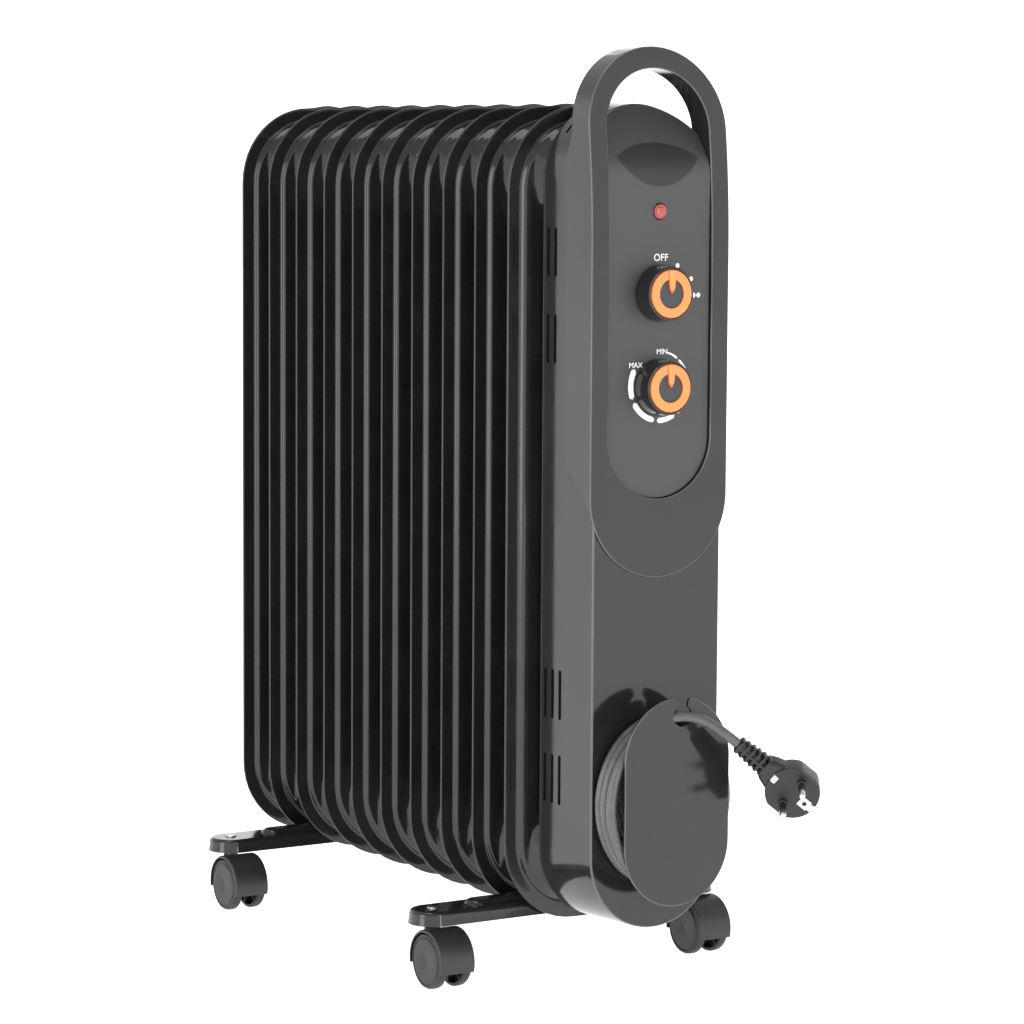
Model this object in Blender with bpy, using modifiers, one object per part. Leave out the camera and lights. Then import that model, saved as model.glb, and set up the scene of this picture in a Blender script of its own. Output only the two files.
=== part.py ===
"""Oil filled radiator heater: ten welded steel fins, a plastic control housing with a loop handle,
a wound mains cord behind a storage plate, and two legs on swivelling twin-wheel castors.

Metres, +Z up, the control panel faces -Y, the fins stand behind it along +Y, the floor is z = 0.
"""
import math

import bmesh
import bpy
from mathutils import Matrix, Vector

MM = 0.001
GAP = 0.3 * MM

# Fins
FIN_COUNT = 10
FIN_PITCH = 42.2 * MM
FIN_WIDTH = 148 * MM
FIN_BOTTOM = 39 * MM
FIN_TOP = 598 * MM
FIN_RADIUS = 57 * MM
FIN_SHEET = 1.6 * MM
FIN_CORNER_STEPS = 4
FIRST_FIN_Y = 62 * MM
FLANGE = 9.8 * MM
CHANNEL_SLOPE = 3 * MM
CHANNEL_RISE = 4.4 * MM
HEADER_RADIUS = 22 * MM
HEADER_BORE = 14 * MM
LOWER_HEADER_Z = 87 * MM
UPPER_HEADER_Z = 550 * MM
FILLER_LENGTH = 9 * MM

# Housing
RIM_HALF = 53.5 * MM
FACE_HALF = 51 * MM
RIM_Y = 48 * MM
FACE_Y = -10.7 * MM
HOUSING_TOP = 598.5 * MM
HOUSING_BOTTOM = 41 * MM
WALL = 2.2 * MM
VENT_HALF = 1.3
VENTS = (((35, 43.5), ((424, 457), (482, 515))),
         ((26.5, 35, 43.5), ((126, 160), (184, 218))))

# Handle frame
FRAME_HALF = 55 * MM
FRAME_FRONT = -12.5 * MM
FRAME_BACK = 8 * MM
FRAME_TOP = 635 * MM
FRAME_BOTTOM = 282 * MM
OPENING_HALF = 41 * MM
OPENING_BOTTOM = 335 * MM
OPENING_TOP = 620.5 * MM
SHOULDER_Z = 556 * MM

# Control panel
PANEL_Y = -10 * MM
PANEL_THICK = 3 * MM
BREAK_Z = 562 * MM
SLOPE_BACK = 16 * MM
SLOPE_TOP = 594 * MM
POWER_Z = 472 * MM
THERMOSTAT_Z = 409.5 * MM
INDICATOR_Z = 526 * MM
INLAY_HALF = 33 * MM
INLAY_RISE = 9 * MM
INLAY_SAG = 19 * MM
KNOB_RADIUS = 19.5 * MM
KNOB_FRONT = -25 * MM
RING_RADIUS = 17.2 * MM

# Cord storage
CORD_DIAMETER = 6.8 * MM
COIL_Z = 132 * MM
COIL_HALF_WIDTH = 55.5 * MM
COIL_HALF_HEIGHT = 62.5 * MM
COIL_BAND = 14 * MM
COIL_FRONT = -27.5 * MM
COIL_BACK = -13.5 * MM
PLATE_HALF = 42 * MM
PLATE_FRONT = -38 * MM
PLATE_BACK = -35.7 * MM
PLATE_BOTTOM = 63 * MM
PLATE_TOP = 204 * MM
NOTCH_X = 3.5 * MM
NOTCH_Z = 191.5 * MM
NOTCH_RADIUS = 7.4 * MM
GLAND_Z = 102 * MM

# Plug
RELIEF_START = Vector((32, -62, 173.5)) * MM
PLUG_ALONG = Vector((0.716, -0.303, -0.628)).normalized()
PLUG_FACE = Vector((-0.573, -0.773, -0.272))
PLUG_REACH = 48 * MM
PLUG_RADIUS = 18.5 * MM
PLUG_DEPTH = 17 * MM
PIN_SPACING = 19 * MM

# Legs and castors
LEG_PLACES = {"front": FIRST_FIN_Y + 0.5 * FIN_PITCH, "rear": FIRST_FIN_Y + 7.5 * FIN_PITCH}
STEM_PLACES = {"front": (-118 * MM, 94 * MM), "rear": (-118 * MM, 118 * MM)}
LEG_HALF = 16 * MM
LEG_TOP = 52 * MM
LEG_DEPTH = 11 * MM
LEG_SHEET = 1.6 * MM
WHEEL_RADIUS = 19 * MM
WHEEL_WIDTH = 8 * MM
CASTOR_WIDTH = 27 * MM
CASTOR_TRAIL = 13 * MM
HOOD_RADIUS = 20.6 * MM
HOOD_TOP = 38 * MM

parts = None
cutters = None


def clear_scene():
    for item in list(bpy.data.objects):
        bpy.data.objects.remove(item, do_unlink=True)


def new_collection(name):
    collection = bpy.data.collections.new(name)
    bpy.context.scene.collection.children.link(collection)
    return collection


def material(name, color, roughness, metallic=0.0):
    made = bpy.data.materials.get(name)
    if made is None:
        made = bpy.data.materials.new(name)
        made.use_nodes = True
        shader = made.node_tree.nodes["Principled BSDF"]
        shader.inputs["Base Color"].default_value = (*color, 1.0)
        shader.inputs["Roughness"].default_value = roughness
        shader.inputs["Metallic"].default_value = metallic
    return made


def black_enamel():
    return material("black_enamel", (0.012, 0.012, 0.013), 0.15)


def gloss_plastic():
    return material("gloss_plastic", (0.05, 0.05, 0.052), 0.12)


def matte_plastic():
    return material("matte_plastic", (0.045, 0.045, 0.047), 0.5)


def dark_rubber():
    return material("dark_rubber", (0.03, 0.03, 0.032), 0.6)


def orange_plastic():
    return material("orange_plastic", (0.9, 0.3, 0.03), 0.35)


def red_lens():
    return material("red_lens", (0.6, 0.05, 0.03), 0.15)


def bright_steel():
    return material("bright_steel", (0.62, 0.62, 0.63), 0.25, 1.0)


def pale_plastic():
    return material("pale_plastic", (0.7, 0.68, 0.62), 0.45)


def add_object(name, bm, look, smooth=True):
    bmesh.ops.recalc_face_normals(bm, faces=bm.faces[:])
    mesh = bpy.data.meshes.new(name)
    bm.to_mesh(mesh)
    bm.free()
    mesh.materials.append(look)
    item = bpy.data.objects.new(name, mesh)
    parts.objects.link(item)
    if smooth:
        mesh.shade_smooth()
        mesh.set_sharp_from_angle(angle=math.radians(35))
    return item


def as_cutter(item):
    """Move an object to the cutters, where it is not part of the heater."""
    parts.objects.unlink(item)
    cutters.objects.link(item)
    item.hide_render = True
    item.display_type = 'WIRE'
    return item


def boolean(item, tool, operation='DIFFERENCE'):
    change = item.modifiers.new(tool.name, 'BOOLEAN')
    change.operation = operation
    change.solver = 'EXACT'
    change.object = tool
    return item


def settled_mesh(item, name):
    """Return the object's mesh with its modifiers applied, and remove the object."""
    bpy.context.view_layer.update()
    graph = bpy.context.evaluated_depsgraph_get()
    mesh = bpy.data.meshes.new_from_object(item.evaluated_get(graph))
    mesh.name = name
    bm = bmesh.new()
    bm.from_mesh(mesh)
    bmesh.ops.remove_doubles(bm, verts=bm.verts[:], dist=0.00001)
    bmesh.ops.transform(bm, matrix=item.matrix_world, verts=bm.verts[:])
    bm.to_mesh(mesh)
    bm.free()
    bpy.data.objects.remove(item, do_unlink=True)
    return mesh


def stadium(half, bottom, top, radius=None, steps=8):
    """Outline in the XZ plane of an upright rounded rectangle; full round ends by default."""
    radius = half if radius is None else radius
    corners = ((half - radius, top - radius, 0), (radius - half, top - radius, 90),
               (radius - half, bottom + radius, 180), (half - radius, bottom + radius, 270))
    points = []
    for x, z, start in corners:
        for step in range(steps + 1):
            angle = math.radians(start + 90 * step / steps)
            point = (x + radius * math.cos(angle), z + radius * math.sin(angle))
            if not points or math.dist(point, points[-1]) > 0.00001:
                points.append(point)
    if math.dist(points[0], points[-1]) < 0.00001:
        points.pop()
    return points


def prism(name, outline, y_front, y_back, look, chamfer=0.0):
    """Slab between two Y planes from an XZ outline, with its front edge broken by a chamfer."""
    bm = bmesh.new()
    face = bm.faces.new([bm.verts.new((x, y_back, z)) for x, z in outline])
    front = bmesh.ops.extrude_face_region(bm, geom=[face])["geom"]
    moved = [part for part in front if isinstance(part, bmesh.types.BMVert)]
    bmesh.ops.translate(bm, verts=moved, vec=(0, y_front - y_back, 0))
    if chamfer:
        edges = [edge for edge in bm.edges if all(vert in moved for vert in edge.verts)]
        bmesh.ops.bevel(bm, geom=edges, offset=chamfer, segments=2, profile=0.5, affect='EDGES')
    return add_object(name, bm, look)


def box(name, low, high, look, bevel=0.0):
    bm = bmesh.new()
    bmesh.ops.create_cube(bm, size=1.0)
    size = [top - bottom for bottom, top in zip(low, high)]
    middle = [(top + bottom) / 2 for bottom, top in zip(low, high)]
    bmesh.ops.scale(bm, vec=size, verts=bm.verts[:])
    bmesh.ops.translate(bm, vec=middle, verts=bm.verts[:])
    if bevel:
        bmesh.ops.bevel(bm, geom=bm.edges[:], offset=bevel, segments=1, affect='EDGES')
    return add_object(name, bm, look, smooth=False)


def rod(name, start, end, radius, look, end_radius=None, sides=20):
    """Cylinder or cone between two points."""
    start, end = Vector(start), Vector(end)
    axis = end - start
    bm = bmesh.new()
    bmesh.ops.create_cone(bm, cap_ends=True, segments=sides, radius1=radius,
                          radius2=radius if end_radius is None else end_radius, depth=axis.length)
    turn = axis.to_track_quat('Z', 'Y').to_matrix().to_4x4()
    bmesh.ops.transform(bm, matrix=Matrix.Translation((start + end) / 2) @ turn, verts=bm.verts[:])
    return add_object(name, bm, look)


def turned(name, profile, place, axis, look, steps=24):
    """Body turned about an axis through place; profile is (radius, along the axis), top to bottom."""
    mesh = bpy.data.meshes.new(name)
    points = [(radius, 0, along) for radius, along in profile]
    mesh.from_pydata(points, [(i, i + 1) for i in range(len(points) - 1)], [])
    mesh.materials.append(look)
    item = bpy.data.objects.new(name, mesh)
    parts.objects.link(item)
    item.matrix_world = Matrix.Translation(place) @ Vector(axis).to_track_quat('Z', 'Y').to_matrix().to_4x4()
    screw = item.modifiers.new("turn", 'SCREW')
    screw.steps = steps
    screw.render_steps = steps
    screw.use_merge_vertices = True
    screw.merge_threshold = 0.00001
    screw.use_smooth_shade = True
    return item


def wire(name, points, radius, look, resolution=2):
    """Round wire through the points, as a closed mesh."""
    curve = bpy.data.curves.new(name + "_line", 'CURVE')
    curve.dimensions = '3D'
    curve.bevel_depth = radius
    curve.bevel_resolution = resolution
    curve.use_fill_caps = True
    spline = curve.splines.new('POLY')
    spline.points.add(len(points) - 1)
    for slot, point in zip(spline.points, points):
        slot.co = (*point, 1.0)
    line = bpy.data.objects.new(name + "_line", curve)
    parts.objects.link(line)
    mesh = settled_mesh(line, name)
    mesh.materials.clear()
    mesh.materials.append(look)
    item = bpy.data.objects.new(name, mesh)
    parts.objects.link(item)
    mesh.shade_smooth()
    return item


def smooth_path(points, spacing):
    """Even points along a Catmull-Rom curve through the given ones."""
    ends = [points[0] * 2 - points[1]] + list(points) + [points[-1] * 2 - points[-2]]
    fine = []
    for a, b, c, d in zip(ends, ends[1:], ends[2:], ends[3:]):
        for step in range(20):
            t = step / 20
            fine.append(0.5 * (2 * b + (c - a) * t + (2 * a - 5 * b + 4 * c - d) * t * t
                               + (3 * b - a - 3 * c + d) * t ** 3))
    fine.append(points[-1])
    length = sum((q - p).length for p, q in zip(fine, fine[1:]))
    count = max(2, round(length / spacing))
    wanted = [length * i / count for i in range(1, count)]
    even, run = [fine[0]], 0.0
    for p, q in zip(fine, fine[1:]):
        while wanted and run + (q - p).length >= wanted[0]:
            even.append(p.lerp(q, (wanted.pop(0) - run) / (q - p).length))
        run += (q - p).length
    return even + [fine[-1]]


def fin_mesh():
    """One fin: a flat flange round a raised hollow oil channel, with open header collars."""
    bm = bmesh.new()
    outline = stadium(FIN_WIDTH / 2, FIN_BOTTOM, FIN_TOP, FIN_RADIUS, steps=FIN_CORNER_STEPS)
    face = bm.faces.new([bm.verts.new((x, FIN_SHEET / 2, z)) for x, z in outline])
    bmesh.ops.extrude_face_region(bm, geom=[face])
    sheet = bm.verts[-len(outline):]
    bmesh.ops.translate(bm, verts=sheet, vec=(0, -FIN_SHEET, 0))
    bmesh.ops.recalc_face_normals(bm, faces=bm.faces[:])
    for cap in [part for part in bm.faces if len(part.verts) == len(outline)]:
        bmesh.ops.inset_individual(bm, faces=[cap], thickness=FLANGE)
        bmesh.ops.inset_individual(bm, faces=[cap], thickness=CHANNEL_SLOPE, depth=CHANNEL_RISE)
    fin = add_object("fin_blank", bm, black_enamel())
    reach = FIN_PITCH / 2 - GAP / 2
    inner = FLANGE + CHANNEL_SLOPE
    hollow_outline = stadium(FIN_WIDTH / 2 - inner, FIN_BOTTOM + inner, FIN_TOP - inner,
                             FIN_RADIUS - inner, steps=FIN_CORNER_STEPS - 1)
    hollow_half = CHANNEL_RISE - 1.2 * MM
    hollow = as_cutter(prism("oil_space", hollow_outline, -hollow_half, hollow_half, black_enamel()))
    look = black_enamel()
    for z in (LOWER_HEADER_Z, UPPER_HEADER_Z):
        collar = rod("collar", (0, -reach, z), (0, reach, z), HEADER_RADIUS, look, sides=14)
        boolean(fin, as_cutter(collar), 'UNION')
    for z in (LOWER_HEADER_Z, UPPER_HEADER_Z):
        bore = rod("bore", (0, -reach * 1.2, z), (0, reach * 1.2, z), HEADER_BORE, look, sides=8)
        boolean(fin, as_cutter(bore))
    boolean(fin, hollow)
    mesh = settled_mesh(fin, "fin")
    mesh.shade_smooth()
    mesh.set_sharp_from_angle(angle=math.radians(25))
    return mesh


def make_fins():
    mesh = fin_mesh()
    for index in range(FIN_COUNT):
        fin = bpy.data.objects.new("fin_%02d" % (index + 1), mesh)
        fin.location.y = FIRST_FIN_Y + index * FIN_PITCH
        parts.objects.link(fin)


def make_header_closures():
    front = FIRST_FIN_Y - FIN_PITCH / 2 - GAP / 2
    rear = FIRST_FIN_Y + (FIN_COUNT - 0.5) * FIN_PITCH + GAP / 2
    steel = bright_steel()
    enamel = black_enamel()
    rod("element_flange", (0, front - 4 * MM, LOWER_HEADER_Z), (0, front, LOWER_HEADER_Z),
        HEADER_RADIUS, steel, sides=24)
    rod("front_upper_header_cap", (0, front - 2.5 * MM, UPPER_HEADER_Z), (0, front, UPPER_HEADER_Z),
        HEADER_RADIUS, enamel, sides=24)
    rod("rear_lower_header_cap", (0, rear, LOWER_HEADER_Z), (0, rear + 2.5 * MM, LOWER_HEADER_Z),
        HEADER_RADIUS, enamel, sides=24)
    plug = [(0, FILLER_LENGTH), (7 * MM, FILLER_LENGTH), (8 * MM, FILLER_LENGTH - 1 * MM), (8 * MM, 3.5 * MM),
            (17 * MM, 3 * MM), (HEADER_RADIUS, 2 * MM), (HEADER_RADIUS, 0), (0, 0)]
    turned("oil_filler_plug", plug, (0, rear, UPPER_HEADER_Z), (0, 1, 0), enamel)
    leg_spread = 6.5 * MM
    near = FIRST_FIN_Y - FIN_PITCH / 2 + GAP
    far = FIRST_FIN_Y + (FIN_COUNT - 1.5) * FIN_PITCH
    path = [(0, near, LOWER_HEADER_Z + leg_spread), (0, far, LOWER_HEADER_Z + leg_spread)]
    for step in range(1, 6):
        angle = math.radians(90 - 30 * step)
        path.append((0, far + leg_spread * math.cos(angle), LOWER_HEADER_Z + leg_spread * math.sin(angle)))
    path += [(0, far, LOWER_HEADER_Z - leg_spread), (0, near, LOWER_HEADER_Z - leg_spread)]
    wire("heating_element", path, 3.8 * MM, steel)


def make_mounting_plate():
    outline = stadium(RIM_HALF, HOUSING_BOTTOM, HOUSING_TOP)
    plate = prism("mounting_plate", outline, RIM_Y + GAP, RIM_Y + 1.8 * MM, black_enamel())
    for z in (LOWER_HEADER_Z, UPPER_HEADER_Z):
        hole = rod("header_hole", (0, RIM_Y - 5 * MM, z), (0, RIM_Y + 8 * MM, z),
                   HEADER_RADIUS + 0.8 * MM, black_enamel(), sides=20)
        boolean(plate, as_cutter(hole))


def ring_volume(name, grow, y_front, y_back, look, chamfer=0.0):
    """Handle ring: a tall stadium with a stadium opening, grown on all sides for clearance."""
    ring = prism(name, stadium(FRAME_HALF + grow, FRAME_BOTTOM - grow, FRAME_TOP + grow), y_front, y_back,
                 look, chamfer)
    hole = stadium(OPENING_HALF - grow, OPENING_BOTTOM + grow, OPENING_TOP - grow)
    opening = as_cutter(prism(name + "_opening", hole, y_front - 5 * MM, y_back + 5 * MM, look))
    return boolean(ring, opening)


def above(z):
    return box("above", (-80 * MM, -30 * MM, z), (80 * MM, 60 * MM, 700 * MM), gloss_plastic())


def housing_shell():
    bm = bmesh.new()
    edge = 3 * MM
    rings = ((RIM_HALF, RIM_Y), (FACE_HALF + 0.1 * MM, FACE_Y + edge),
             (FACE_HALF - 0.9 * MM, FACE_Y + 0.9 * MM), (FACE_HALF - edge, FACE_Y))
    loops = []
    for half, y in rings:
        inset = RIM_HALF - half
        outline = stadium(half, HOUSING_BOTTOM + inset, HOUSING_TOP - inset)
        loops.append([bm.verts.new((x, y, z)) for x, z in outline])
    for back, front in zip(loops, loops[1:]):
        for i in range(len(back)):
            j = (i + 1) % len(back)
            bm.faces.new((back[i], back[j], front[j], front[i]))
    bm.faces.new(loops[-1])
    shell = add_object("front_housing", bm, gloss_plastic())
    walls = shell.modifiers.new("walls", 'SOLIDIFY')
    walls.thickness = WALL
    walls.offset = -1
    walls.use_even_offset = True
    return shell


def make_housing():
    shell = housing_shell()
    look = gloss_plastic()
    window = stadium(OPENING_HALF + GAP, OPENING_BOTTOM - GAP, OPENING_TOP)
    boolean(shell, as_cutter(prism("panel_window", window, FACE_Y - 5 * MM, FACE_Y + 4 * MM, look)))
    wedge = bmesh.new()
    back = PANEL_Y + PANEL_THICK + 0.6 * MM
    slope_back = SLOPE_BACK + PANEL_THICK + 0.8 * MM
    side = [(-30 * MM, SHOULDER_Z - 10 * MM), (back, SHOULDER_Z - 10 * MM),
            (back + 2.2 * MM, BREAK_Z - 6 * MM), (back + 8 * MM, BREAK_Z + 5 * MM),
            (slope_back, SLOPE_TOP - 3.5 * MM), (slope_back, 650 * MM), (-30 * MM, 650 * MM)]
    face = wedge.faces.new([wedge.verts.new((-70 * MM, y, z)) for y, z in side])
    bmesh.ops.extrude_face_region(wedge, geom=[face])
    bmesh.ops.translate(wedge, verts=wedge.verts[-len(side):], vec=(140 * MM, 0, 0))
    boolean(shell, as_cutter(add_object("shoulder_wedge", wedge, look)))
    rebate = ring_volume("frame_rebate", 0.4 * MM, FRAME_FRONT - 1 * MM, FRAME_BACK + 0.4 * MM, look)
    boolean(rebate, as_cutter(above(SHOULDER_Z + 3.6 * MM)), 'INTERSECT')
    boolean(shell, as_cutter(rebate))
    for places, spans in VENTS:
        for y in places:
            for low, high in spans:
                slot = box("vent", (-70 * MM, (y - VENT_HALF) * MM, low * MM),
                           (70 * MM, (y + VENT_HALF) * MM, high * MM), look)
                boolean(shell, as_cutter(slot))


def make_handle_frame():
    look = gloss_plastic()
    face_back = FACE_Y - GAP
    ring = ring_volume("handle_frame", 0, FRAME_FRONT, face_back, look, chamfer=0.6 * MM)
    arch = ring_volume("arch", 0, FRAME_FRONT + 0.7 * MM, FRAME_BACK, look)
    boolean(arch, as_cutter(above(SHOULDER_Z + 4 * MM)), 'INTERSECT')
    boolean(ring, as_cutter(arch), 'UNION')
    for side in (-1, 1):
        bm = bmesh.new()
        inner, outer = RIM_HALF + 0.35 * MM, FRAME_HALF
        profile = [(FRAME_FRONT + 0.7 * MM, 330 * MM), (FRAME_FRONT + 4 * MM, 330 * MM), (18 * MM, 362 * MM),
                   (20.5 * MM, 552 * MM), (14 * MM, 572 * MM), (FRAME_FRONT + 0.7 * MM, 576 * MM)]
        face = bm.faces.new([bm.verts.new((side * inner, y, z)) for y, z in profile])
        bmesh.ops.extrude_face_region(bm, geom=[face])
        bmesh.ops.translate(bm, verts=bm.verts[-len(profile):], vec=(side * (outer - inner), 0, 0))
        boolean(ring, as_cutter(add_object("skirt", bm, look)), 'UNION')


def panel_slab(name, shift_front, shift_back, look):
    """Sheet that follows the control panel's face, upright below and leaning back at the top."""
    line = [(PANEL_Y, OPENING_BOTTOM), (PANEL_Y, BREAK_Z - 12 * MM), (PANEL_Y + 2.2 * MM, BREAK_Z - 3 * MM),
            (PANEL_Y + 8 * MM, BREAK_Z + 8 * MM), (SLOPE_BACK, SLOPE_TOP)]
    bm = bmesh.new()
    side = []
    for shift, run in ((shift_front, line), (shift_back, list(reversed(line)))):
        side += [(y + shift, z - (0.65 * shift if z > BREAK_Z - 5 * MM else 0)) for y, z in run]
    face = bm.faces.new([bm.verts.new((-60 * MM, y, z)) for y, z in side])
    bmesh.ops.extrude_face_region(bm, geom=[face])
    bmesh.ops.translate(bm, verts=bm.verts[-len(side):], vec=(120 * MM, 0, 0))
    return add_object(name, bm, look)


def make_control_panel():
    look = matte_plastic()
    panel = panel_slab("control_panel", 0, PANEL_THICK, look)
    inner = stadium(OPENING_HALF - GAP, OPENING_BOTTOM + GAP, OPENING_TOP - GAP)
    boolean(panel, as_cutter(prism("panel_edge", inner, -40 * MM, 40 * MM, look)), 'INTERSECT')
    crown = stadium(FACE_HALF + 1 * MM, HOUSING_BOTTOM, HOUSING_TOP - 1.5 * MM)
    boolean(panel, as_cutter(prism("panel_crown", crown, -40 * MM, 40 * MM, look)), 'INTERSECT')
    for z in (POWER_Z, THERMOSTAT_Z):
        hole = rod("shaft_hole", (0, -20 * MM, z), (0, 0, z), 4.2 * MM, look, sides=16)
        boolean(panel, as_cutter(hole))
    lamp_hole = rod("lamp_hole", (0, -20 * MM, INDICATOR_Z), (0, 0, INDICATOR_Z), 5 * MM, look, sides=16)
    boolean(panel, as_cutter(lamp_hole))


def make_panel_fittings():
    moon = []
    for rise, steps in ((INLAY_RISE, range(9)), (-INLAY_SAG, range(8, -1, -1))):
        for step in steps:
            across = 2 * step / 8 - 1
            point = (INLAY_HALF * across, BREAK_Z + rise * (1 - across * across))
            if point not in moon:
                moon.append(point)
    inlay = panel_slab("blank_inlay", -1.2 * MM, -GAP, matte_plastic())
    boolean(inlay, as_cutter(prism("half_moon", moon, -40 * MM, 40 * MM, matte_plastic())), 'INTERSECT')
    lens = [(0, 6.8 * MM), (2.6 * MM, 6.3 * MM), (4.3 * MM, 5 * MM), (4.6 * MM, 4 * MM),
            (4.6 * MM, 0), (0, 0)]
    lens_base = (0, PANEL_Y + 5 * MM, INDICATOR_Z)
    turned("indicator_lens", lens, lens_base, (0, -1, 0), red_lens(), steps=16)
    for name, z in (("power", POWER_Z), ("thermostat", THERMOSTAT_Z)):
        make_knob(name, z)


def make_knob(name, z):
    """Dial: steel shaft, dark skirt open behind, orange ring pressed into its front."""
    shaft_back = PANEL_Y + PANEL_THICK + 5 * MM
    rod(name + "_shaft", (0, shaft_back, z), (0, KNOB_FRONT + 4 * MM, z), 3 * MM, bright_steel(), sides=12)
    base = abs(KNOB_FRONT - PANEL_Y) - 0.5 * MM
    seat = RING_RADIUS - 4 * MM
    lip = RING_RADIUS - 0.1 * MM
    skirt = [(RING_RADIUS + 0.8 * MM, base), (KNOB_RADIUS, base - 2 * MM), (KNOB_RADIUS + 0.6 * MM, 0.8 * MM),
             (KNOB_RADIUS, 0), (3.3 * MM, 0), (3.3 * MM, base - 3.5 * MM), (seat, base - 3.5 * MM),
             (seat, base - 1.5 * MM), (lip, base - 1.5 * MM), (RING_RADIUS + 0.8 * MM, base)]
    place = (0, PANEL_Y - 0.5 * MM, z)
    turned(name + "_knob", skirt, place, (0, -1, 0), gloss_plastic())
    top = base + 1.2 * MM
    low = base - 1.2 * MM
    rim = RING_RADIUS - 0.4 * MM
    band = [(RING_RADIUS - 0.8 * MM, top - 0.5 * MM), (rim, top - 1.2 * MM), (rim, low), (8 * MM, low),
            (8 * MM, top - 0.8 * MM), (9 * MM, top), (RING_RADIUS - 0.8 * MM, top - 0.5 * MM)]
    turned(name + "_knob_ring", band, place, (0, -1, 0), orange_plastic())


def make_controls():
    switch_front = PANEL_Y + PANEL_THICK + 5.5 * MM
    for name, half, back, z in (("selector_switch", (17 * MM, 15 * MM), 24 * MM, POWER_Z),
                                ("thermostat", (14 * MM, 17 * MM), 20 * MM, THERMOSTAT_Z)):
        low = (-half[0], switch_front, z - half[1])
        box(name, low, (half[0], back, z + half[1]), pale_plastic(), 1 * MM)
    rod("thermal_cutout", (0, 30 * MM, 250 * MM), (0, 44 * MM, 250 * MM), 9 * MM, bright_steel(), sides=16)


def ellipse(half_width, half_height, steps=40):
    turn = [2 * math.pi * step / steps for step in range(steps)]
    return [(half_width * math.cos(a), COIL_Z + half_height * math.sin(a)) for a in turn]


def make_cord_storage():
    look = gloss_plastic()
    foot = FACE_Y - GAP
    spool_outline = stadium(16 * MM, 118 * MM, COIL_Z + COIL_HALF_HEIGHT - COIL_BAND - 0.6 * MM, steps=6)
    prism("storage_spool", spool_outline, PLATE_BACK + GAP, foot, look)
    outline = stadium(PLATE_HALF, PLATE_BOTTOM, PLATE_TOP)
    plate = prism("storage_plate", outline, PLATE_FRONT, PLATE_BACK, look, chamfer=0.7 * MM)
    before, behind = PLATE_FRONT - 9 * MM, PLATE_BACK + 9 * MM
    hole = rod("notch_round", (NOTCH_X, before, NOTCH_Z), (NOTCH_X, behind, NOTCH_Z), NOTCH_RADIUS, look)
    throat = box("notch_throat", (NOTCH_X - 4.2 * MM, before, NOTCH_Z),
                 (NOTCH_X + 4.2 * MM, behind, PLATE_TOP + 9 * MM), look)
    boolean(plate, as_cutter(hole))
    boolean(plate, as_cutter(throat))
    coil_outline = ellipse(COIL_HALF_WIDTH, COIL_HALF_HEIGHT)
    coil = prism("cord_coil", coil_outline, COIL_FRONT, COIL_BACK, dark_rubber())
    eye = prism("coil_eye", ellipse(COIL_HALF_WIDTH - COIL_BAND, COIL_HALF_HEIGHT - COIL_BAND),
                COIL_FRONT - 5 * MM, COIL_BACK + 5 * MM, look)
    boolean(coil, as_cutter(eye))
    middle_y = (COIL_FRONT + COIL_BACK) / 2
    relief = rod("cord_gland", (22 * MM, middle_y, GLAND_Z), (2 * MM, middle_y, GLAND_Z), 6 * MM,
                 dark_rubber(), end_radius=4.3 * MM, sides=16)
    block_half = 6.5 * MM
    block = box("gland_block", (19 * MM, middle_y - block_half, GLAND_Z - block_half),
                (26 * MM, foot, GLAND_Z + block_half), look)
    boolean(relief, as_cutter(block), 'UNION')


def make_cord():
    """The loose cord: from the coil's upper left, out through the notch, down to the plug."""
    start = Vector((-27, -31.4, 178)) * MM
    route = [start, Vector((-15, -31.3, 186)) * MM, Vector((-5.5, -31.2, 190.4)) * MM,
             Vector((3.4, -36.4, 192)) * MM, Vector((9.5, -44.5, 191.5)) * MM, Vector((19, -54, 187)) * MM,
             RELIEF_START - PLUG_ALONG * (6 * MM), RELIEF_START - PLUG_ALONG * (2 * GAP)]
    wire("cord_tail", smooth_path(route, 2.4 * CORD_DIAMETER / 2), CORD_DIAMETER / 2, dark_rubber())


def make_plug():
    """Moulded round earthed plug: ribbed relief, disc body, two round pins and two earth contacts."""
    look = dark_rubber()
    steel = bright_steel()
    face = (PLUG_FACE - PLUG_ALONG * PLUG_FACE.dot(PLUG_ALONG)).normalized()
    across = face.cross(PLUG_ALONG)
    axis_back = face * (PLUG_DEPTH * 0.55)
    centre = RELIEF_START + PLUG_ALONG * PLUG_REACH + axis_back
    body = rod("plug_body", centre - face * PLUG_DEPTH, centre, PLUG_RADIUS, look, sides=28)
    relief = rod("plug_relief", RELIEF_START, RELIEF_START + PLUG_ALONG * (24 * MM), 5 * MM, look,
                 end_radius=7 * MM, sides=16)
    neck = rod("plug_neck", RELIEF_START + PLUG_ALONG * (23 * MM), centre - axis_back, 7.8 * MM, look,
               end_radius=9 * MM, sides=16)
    boolean(body, as_cutter(neck), 'UNION')
    boolean(body, as_cutter(relief), 'UNION')
    for index, sign in enumerate((-1, 1)):
        foot = centre + across * (sign * PIN_SPACING / 2) + face * GAP
        rod("plug_pin_%d" % (index + 1), foot, foot + face * (19 * MM), 2.4 * MM, steel, sides=12)
    for index, sign in enumerate((-1, 1)):
        middle = centre + PLUG_ALONG * (sign * 13.5 * MM) + face * (GAP + 0.5 * MM)
        turn = Matrix((PLUG_ALONG, across, face)).transposed().to_4x4()
        bm = bmesh.new()
        bmesh.ops.create_cube(bm, size=1.0)
        bmesh.ops.scale(bm, vec=(7 * MM, 5 * MM, 1 * MM), verts=bm.verts[:])
        bmesh.ops.transform(bm, matrix=Matrix.Translation(middle) @ turn, verts=bm.verts[:])
        add_object("plug_earth_contact_%d" % (index + 1), bm, steel, smooth=False)


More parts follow.
